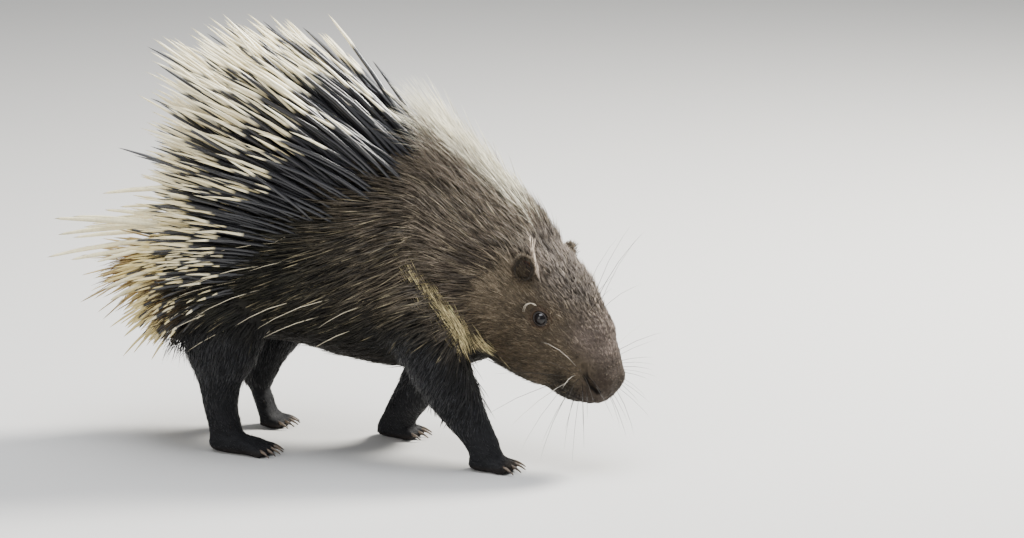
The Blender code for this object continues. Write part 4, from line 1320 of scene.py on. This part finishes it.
points, normals = scatter(surface, quills["tries"], onMantle, quills["apart"])
kept = rng.random(len(points)) < regions(points, normals)["mantle"]
points, normals = points[kept], normals[kept]
x, z = points[:, 0], points[:, 2]
at = regions(points, normals)
count = len(points)
top = ramp(z, 0.27, 0.325)
height = np.clip((z - 0.16) / 0.14, 0, 1)
rear = np.clip((x + 0.225) / 0.14, 0, 1)
share = (0.36 + 0.64 * height ** 1.3) * (0.68 + 0.32 * rear) * (0.55 + 0.45 * at["mantle"])
share = np.maximum(share, 0.50 * at["rump"] * (z < 0.24))
share *= 1 - 0.10 * ramp(x, 0.0, 0.07)
front = ramp(x, -0.09, 0.04)
lengths = quills["length"] * share * rng.uniform(0.50 + 0.32 * front * top, 1.03, count)
wild = np.where(rng.random(count) < 0.10 * (1 - front), 0.16, 0.055)[:, None]
lies = unit(quillLie(points, normals) + rng.normal(0, 1, (count, 3)) * wild)
# the fan's rear edge stands nearly upright, with single quills that reach past it, and bulges low down
tips = points + lies * lengths[:, None]
edge = np.where(rng.random(count) < 0.82, rng.normal(quills["edge"], 0.012, count), rng.uniform(-0.300, -0.250, count))
edge += 0.325 * np.abs(tips[:, 1]) - 0.050 * at["rump"] * (1 - ramp(z, 0.205, 0.245))
room = np.where(lies[:, 0] < -0.1, (edge - x) / np.minimum(lies[:, 0], -0.1), 1.0)
lengths = np.minimum(lengths, np.maximum(room, 0.038))
lengths = withinReach(points, lies, lengths)
# how much of each is pale: up to half of the rear ones, the end of the top ones, none where they end in the dark middle
tips = points + lies * lengths[:, None]
pale = rng.uniform(0.14, 0.40, count) + 0.05 * top * (1 - front) - 0.03 * top * front
pale = np.maximum(pale, at["rump"] * rng.uniform(0.25, 0.60, count))
brink = quills["darkBelow"] - 0.85 * np.maximum(tips[:, 0], 0)
dark = ramp(tips[:, 0], -0.110, -0.040) * (1 - ramp(tips[:, 2], brink - 0.030, brink + 0.010))
plain = rng.random(count) < np.maximum(0.90 * dark, (1 - at["rump"]) * 0.24 * (1 - 0.5 * top))
paleEdge = np.where(plain, 1.10, 1 - pale)
rusty = at["rump"] * (1 - ramp(z, 0.21, 0.27))
root = mixed(allOf((0.050, 0.040, 0.030), points), tones["rust"], rusty)
rootEdge = np.where(rusty > 0.25, rng.uniform(0.20, 0.60, count), rng.uniform(0.0, 0.05, count))
warm = np.clip(0.95 * at["rump"] + rng.uniform(0.10, 0.75, count) * (1 - 0.65 * top), 0, 1)
quills["girth"] = 0.80 + 0.26 * top
grow("quills", points, normals, lies, lengths, quills, quillLook, (root, root),
     [("paleEdge", paleEdge), ("rootEdge", rootEdge), ("warm", warm)])
print("quills:", count)


# Long thin pale quills that trail behind the rump, and pale hairs laid over flank and thigh

rng = np.random.default_rng(21)

streamers = {
    "width": 0.00290, "depth": 0.00290, "sunk": 0.005, "bend": radians(12), "curls": False, "twist": 0.0,
    "sides": 5, "fade": (0.0, 0.25), "shape": ((-0.03, 0.7), (0.10, 1.0), (0.50, 1.0), (0.80, 0.85), (0.95, 0.50)),
    # x, z, rise in degrees and length
    "rows": ((-0.150, 0.300, 6, 0.172), (-0.180, 0.283, 4, 0.100), (-0.200, 0.262, 7, 0.125),
             (-0.205, 0.250, 4, 0.176), (-0.203, 0.244, 6, 0.160), (-0.205, 0.240, -3, 0.180),
             (-0.200, 0.255, 1, 0.130), (-0.205, 0.225, -6, 0.135), (-0.200, 0.235, -10, 0.115),
             (-0.195, 0.215, -16, 0.100), (-0.205, 0.205, -22, 0.090)),
}
flankHairs = {
    "width": 0.00050, "depth": 0.00044, "sunk": 0.003, "bend": radians(26), "curls": False, "twist": 0.3,
    "sides": 4, "fade": (0.0, 0.2), "shape": ((-0.03, 0.7), (0.15, 1.0), (0.45, 0.95), (0.75, 0.65), (0.92, 0.35)),
    "rows": ((-0.022, 0.265, -2, 0.063), (-0.053, 0.245, 4, 0.100), (-0.088, 0.220, -5, 0.087),
             (-0.094, 0.193, -8, 0.084), (-0.012, 0.188, -7, 0.095), (0.019, 0.182, -16, 0.055),
             (-0.090, 0.220, -7, 0.098), (-0.040, 0.230, -1, 0.070), (-0.120, 0.200, -6, 0.080),
             (-0.110, 0.170, -14, 0.062), (-0.130, 0.150, -20, 0.055), (-0.150, 0.165, -17, 0.060),
             (-0.100, 0.140, -23, 0.048), (-0.030, 0.165, -14, 0.070), (-0.060, 0.180, -11, 0.075),
             (-0.140, 0.185, -10, 0.072), (-0.165, 0.135, -24, 0.045), (0.000, 0.150, -17, 0.050)),
}


def layOnSides(name, look, finish, outward, tone):
    # the rows on the right side, and the same ones a little moved on the left
    for hand, side in ((-1, "Right"), (1, "Left")):
        rows = np.array(look["rows"]) + (hand > 0) * rng.normal(0, 1, (len(look["rows"]), 4)) * (0.008, 0.008, 4, 0.006)
        points, normals = onSide(rows[:, 0], rows[:, 1], hand)
        rise = np.radians(rows[:, 2])
        lies = np.stack([-np.cos(rise), np.full(len(rows), hand * outward), np.sin(rise)], 1)
        lies = swayed(unit(lies), 0.03)
        lengths = withinReach(points, lies, rows[:, 3] * rng.uniform(1.0, 1.15, len(rows)))
        root = allOf(np.array(tone) * 0.45, points)
        tip = np.array(tone) * rng.uniform(0.8, 1.1, (len(rows), 1))
        tufts(f"{name}{side}", points, normals, lies, lengths, look, finish, root, tip)


layOnSides("streamers", streamers, crestLook, 0.06, (0.92, 0.83, 0.55))
layOnSides("flankHairs", flankHairs, crestLook, 0.26, (0.74, 0.66, 0.48))
print("trailing quills and flank hairs")


# Rattle quills of the tail

rng = np.random.default_rng(22)

rattle = dict(stiffHair, tries=900, apart=0.0085, length=0.080, width=0.0011, depth=0.0011, sunk=0.004,
              bend=radians(8), shape=((-0.05, 0.4), (0.10, 0.70), (0.40, 1.0), (0.70, 0.90), (0.92, 0.50)))


def onTail(points, normals):
    return regions(points, normals)["tail"]


points, normals = scatter(surface, rattle["tries"], onTail, rattle["apart"])
lies = swayed(unit(np.array((-1.0, 0, -0.34)) + normals * 0.55), 0.09)
lengths = withinReach(points, lies, rattle["length"] * rng.uniform(0.6, 1.05, len(points)))
pale = np.array((0.66, 0.50, 0.22)) * rng.uniform(0.5, 1.05, (len(points), 1))
grow("rattle", points, normals, lies, lengths, rattle, crestLook, (pale * np.array((0.50, 0.32, 0.16)), pale))
print("rattle quills:", len(points))


# Crest of the nape

rng = np.random.default_rng(23)

crest = dict(softHair, count=3900, length=0.122, width=0.00058, depth=0.00040, sunk=0.0030, curls=False,
             fade=(0.26, 0.70), shape=((-0.03, 0.8), (0.20, 1.0), (0.45, 0.92), (0.68, 0.72), (0.88, 0.42)),
             halfWidth=0.050, low=0.218, front=0.196, lock=0.012, pull=1.3)


def onNape(points, _):
    aside = np.abs(points[:, 1]) / crest["halfWidth"]
    nape = (points[:, 2] > crest["low"]) * (aside < 1) * (points[:, 0] < crest["front"])
    return nape * (pastNeck(points) > -0.010) * (1 - 0.7 * np.minimum(aside, 1))


points, normals = scatter(surface, crest["count"], onNape)
aside = np.abs(points[:, 1]) / crest["halfWidth"]
lies = np.stack([np.full(len(points), -0.46), normals[:, 1] * 0.32, np.full(len(points), 0.89)], 1)
lies = swayed(unit(lies), 0.07)
along = np.clip(1 - (points[:, 0] - 0.105) / 0.135, 0.24, 1)
lengths = crest["length"] * along * (1 - 0.55 * ramp(aside, 0.25, 1.0)) * rng.uniform(0.55, 1.05, len(points))
lies, lock = inLocks(points, lies, lengths, crest)
root = allOf(tones["crestRoot"], points)
brown = np.clip(0.98 * ramp(aside, 0.22, 0.66) + 0.40 * (rng.random(len(points)) < 0.20) + 0.10 * lock, 0, 1)
tip = mixed(allOf(tones["crestTip"], points), tones["crestBrown"], brown)
crest["bend"] = np.where(rng.random(len(points)) < 0.25, radians(52), radians(22))
grow("crest", points, normals, lies, lengths, crest, crestLook, (root, tip))
print("crest:", len(points))


# Whiskers, and the stiff hairs over the eyes

rng = np.random.default_rng(24)

whiskers = {
    "perSide": 20, "width": 0.00030, "depth": 0.00030, "sunk": 0.0012, "bend": radians(26), "curls": False,
    "twist": 0.2, "sides": 4, "fade": (0.0, 0.5),
    "shape": ((-0.02, 0.9), (0.20, 1.0), (0.50, 0.80), (0.80, 0.50)),
    # over the eyes and on the forehead: place in the head's frame, heading there, length
    "brow": (((0.070, 0.012, 0.047), (-0.42, 0.06, 0.93), 0.118), ((0.062, 0.020, 0.046), (-0.36, 0.12, 0.95), 0.100),
             ((0.074, 0.018, 0.042), (-0.05, 0.20, 0.95), 0.052), ((0.052, 0.034, 0.028), (-0.30, 0.70, 0.60), 0.040)),
    # the pale hook over each eye, in the head's frame
    "hook": ((0.0325, 0.0450, 0.0098), (0.0290, 0.0480, 0.0102), (0.0262, 0.0500, 0.0066), (0.0262, 0.0508, 0.0015),
             (0.0285, 0.0500, -0.0040)),
    "hookRadius": 0.00036,
}


def whiskerRows(hand):
    # rows on the pad beside the nose: the low and rear ones sweep out and back, the rest ahead
    rows = []
    for k in range(whiskers["perSide"]):
        back, drop = (k % 5) / 4, (k // 5) / 3
        place = (0.132 - 0.024 * back, 0.030, -0.008 - 0.024 * drop)
        ahead = 0.95 - 1.15 * back + rng.normal(0, 0.12)
        heading = (ahead, hand * rng.uniform(0.55, 1.0), 0.55 - 1.15 * drop + rng.normal(0, 0.10))
        rows.append((place, heading, rng.uniform(0.045, 0.085) + 0.030 * back))
    for place, (x, y, z), length in whiskers["brow"]:
        rows.append((place, (x, y * hand, z), length * rng.uniform(0.9, 1.05)))
    return rows


def hookForm(hand):
    # three strands side by side, thinning to their ends
    strands = []
    for shift in ((0, 0, 0), (0.0009, 0.0003, 0.0010), (-0.0008, 0.0004, -0.0006)):
        path = eased([mirrored(place, hand) + mirrored(shift, hand) for place in whiskers["hook"]], 4)
        radii = whiskers["hookRadius"] * np.linspace(1.0, 0.30, len(path))
        stations = [(headPoint(*place), r, r, r) for place, r in zip(path, radii)]
        strands.append(loft(stations, side=(0.3, 0.2, 1), sides=6))
    return joined(strands)


for side, hand in hands.items():
    places, headings, lengths = (np.array(column) for column in zip(*whiskerRows(hand)))
    points, normals = onHeadAt(places, hand)
    lies = unit(headings) @ headAxes.T
    lengths = withinReach(points, lies, lengths)
    onPad = (places[:, 0] < 0.115) & (np.arange(len(places)) < whiskers["perSide"])
    tip = np.where(((rng.random(len(places)) < 0.5) & onPad)[:, None], (0.50, 0.46, 0.40), (0.020, 0.017, 0.015))
    tufts(f"{side}Whiskers", points, normals, lies, lengths, whiskers, whiskerLook, tip * 0.6, tip)
    finishPiece(f"{side}BrowHook", meshOf("hook", hookForm(hand)), hookLook)
print("whiskers")


# Floor, light and camera

view = {
    "azimuth": radians(18), "elevation": radians(11), "distance": 5.0, "pixelsPerMetre": 900.0,
    "imageWidth": 1024, "imageHeight": 538, "originX": 380.0, "originY": 447.8,
}

ground = bmesh.new()
bmesh.ops.create_circle(ground, segments=64, radius=30, cap_ends=True)
floor = placed("floor", meshOf("floor", ground))
floor.data.materials.append(floorLook)

toCamera = Vector((sin(view["azimuth"]) * cos(view["elevation"]), -cos(view["azimuth"]) * cos(view["elevation"]),
                   sin(view["elevation"])))
right = Vector((cos(view["azimuth"]), sin(view["azimuth"]), 0))
up = toCamera.cross(right)
aim = (step.translation + right * ((view["imageWidth"] / 2 - view["originX"]) / view["pixelsPerMetre"])
       + up * ((view["originY"] - view["imageHeight"] / 2) / view["pixelsPerMetre"]))
lens = bpy.data.cameras.new("photoView")
lens.sensor_width = 36
lens.lens = 36 * view["distance"] * view["pixelsPerMetre"] / view["imageWidth"]
camera = placed("photoView", lens)
turned = Matrix((right, up, toCamera)).transposed().to_4x4()
camera.matrix_world = Matrix.Translation(aim + toCamera * view["distance"]) @ turned
bpy.context.scene.camera = camera

lamps = {
    "overhead": dict(place=(0.2, -0.3, 2.8), size=2.0, power=125, colour=(0.95, 0.97, 1.0)),
    "front": dict(place=(-0.8, -3.2, 1.6), size=2.6, power=66, colour=(1.0, 0.98, 0.95)),
    "backlight": dict(place=(1.5, 1.7, 2.4), size=0.9, power=380, colour=(1.0, 0.97, 0.90)),
}
for name, lamp in lamps.items():
    light = bpy.data.lights.new(name, "AREA")
    light.shape = "SQUARE"
    light.size = lamp["size"]
    light.energy = lamp["power"]
    light.color = lamp["colour"]
    place = Vector(lamp["place"])
    turned = (place - Vector((0, 0, 0.2))).to_track_quat("Z", "Y").to_matrix().to_4x4()
    placed(name, light).matrix_world = Matrix.Translation(place) @ turned

world = bpy.data.worlds.new("studio")
world.use_nodes = True
setInputs(world.node_tree, world.node_tree.nodes["Background"], {"Color": (0.90, 0.94, 1.0, 1), "Strength": 0.40})
bpy.context.scene.world = world
print("floor, light and camera")
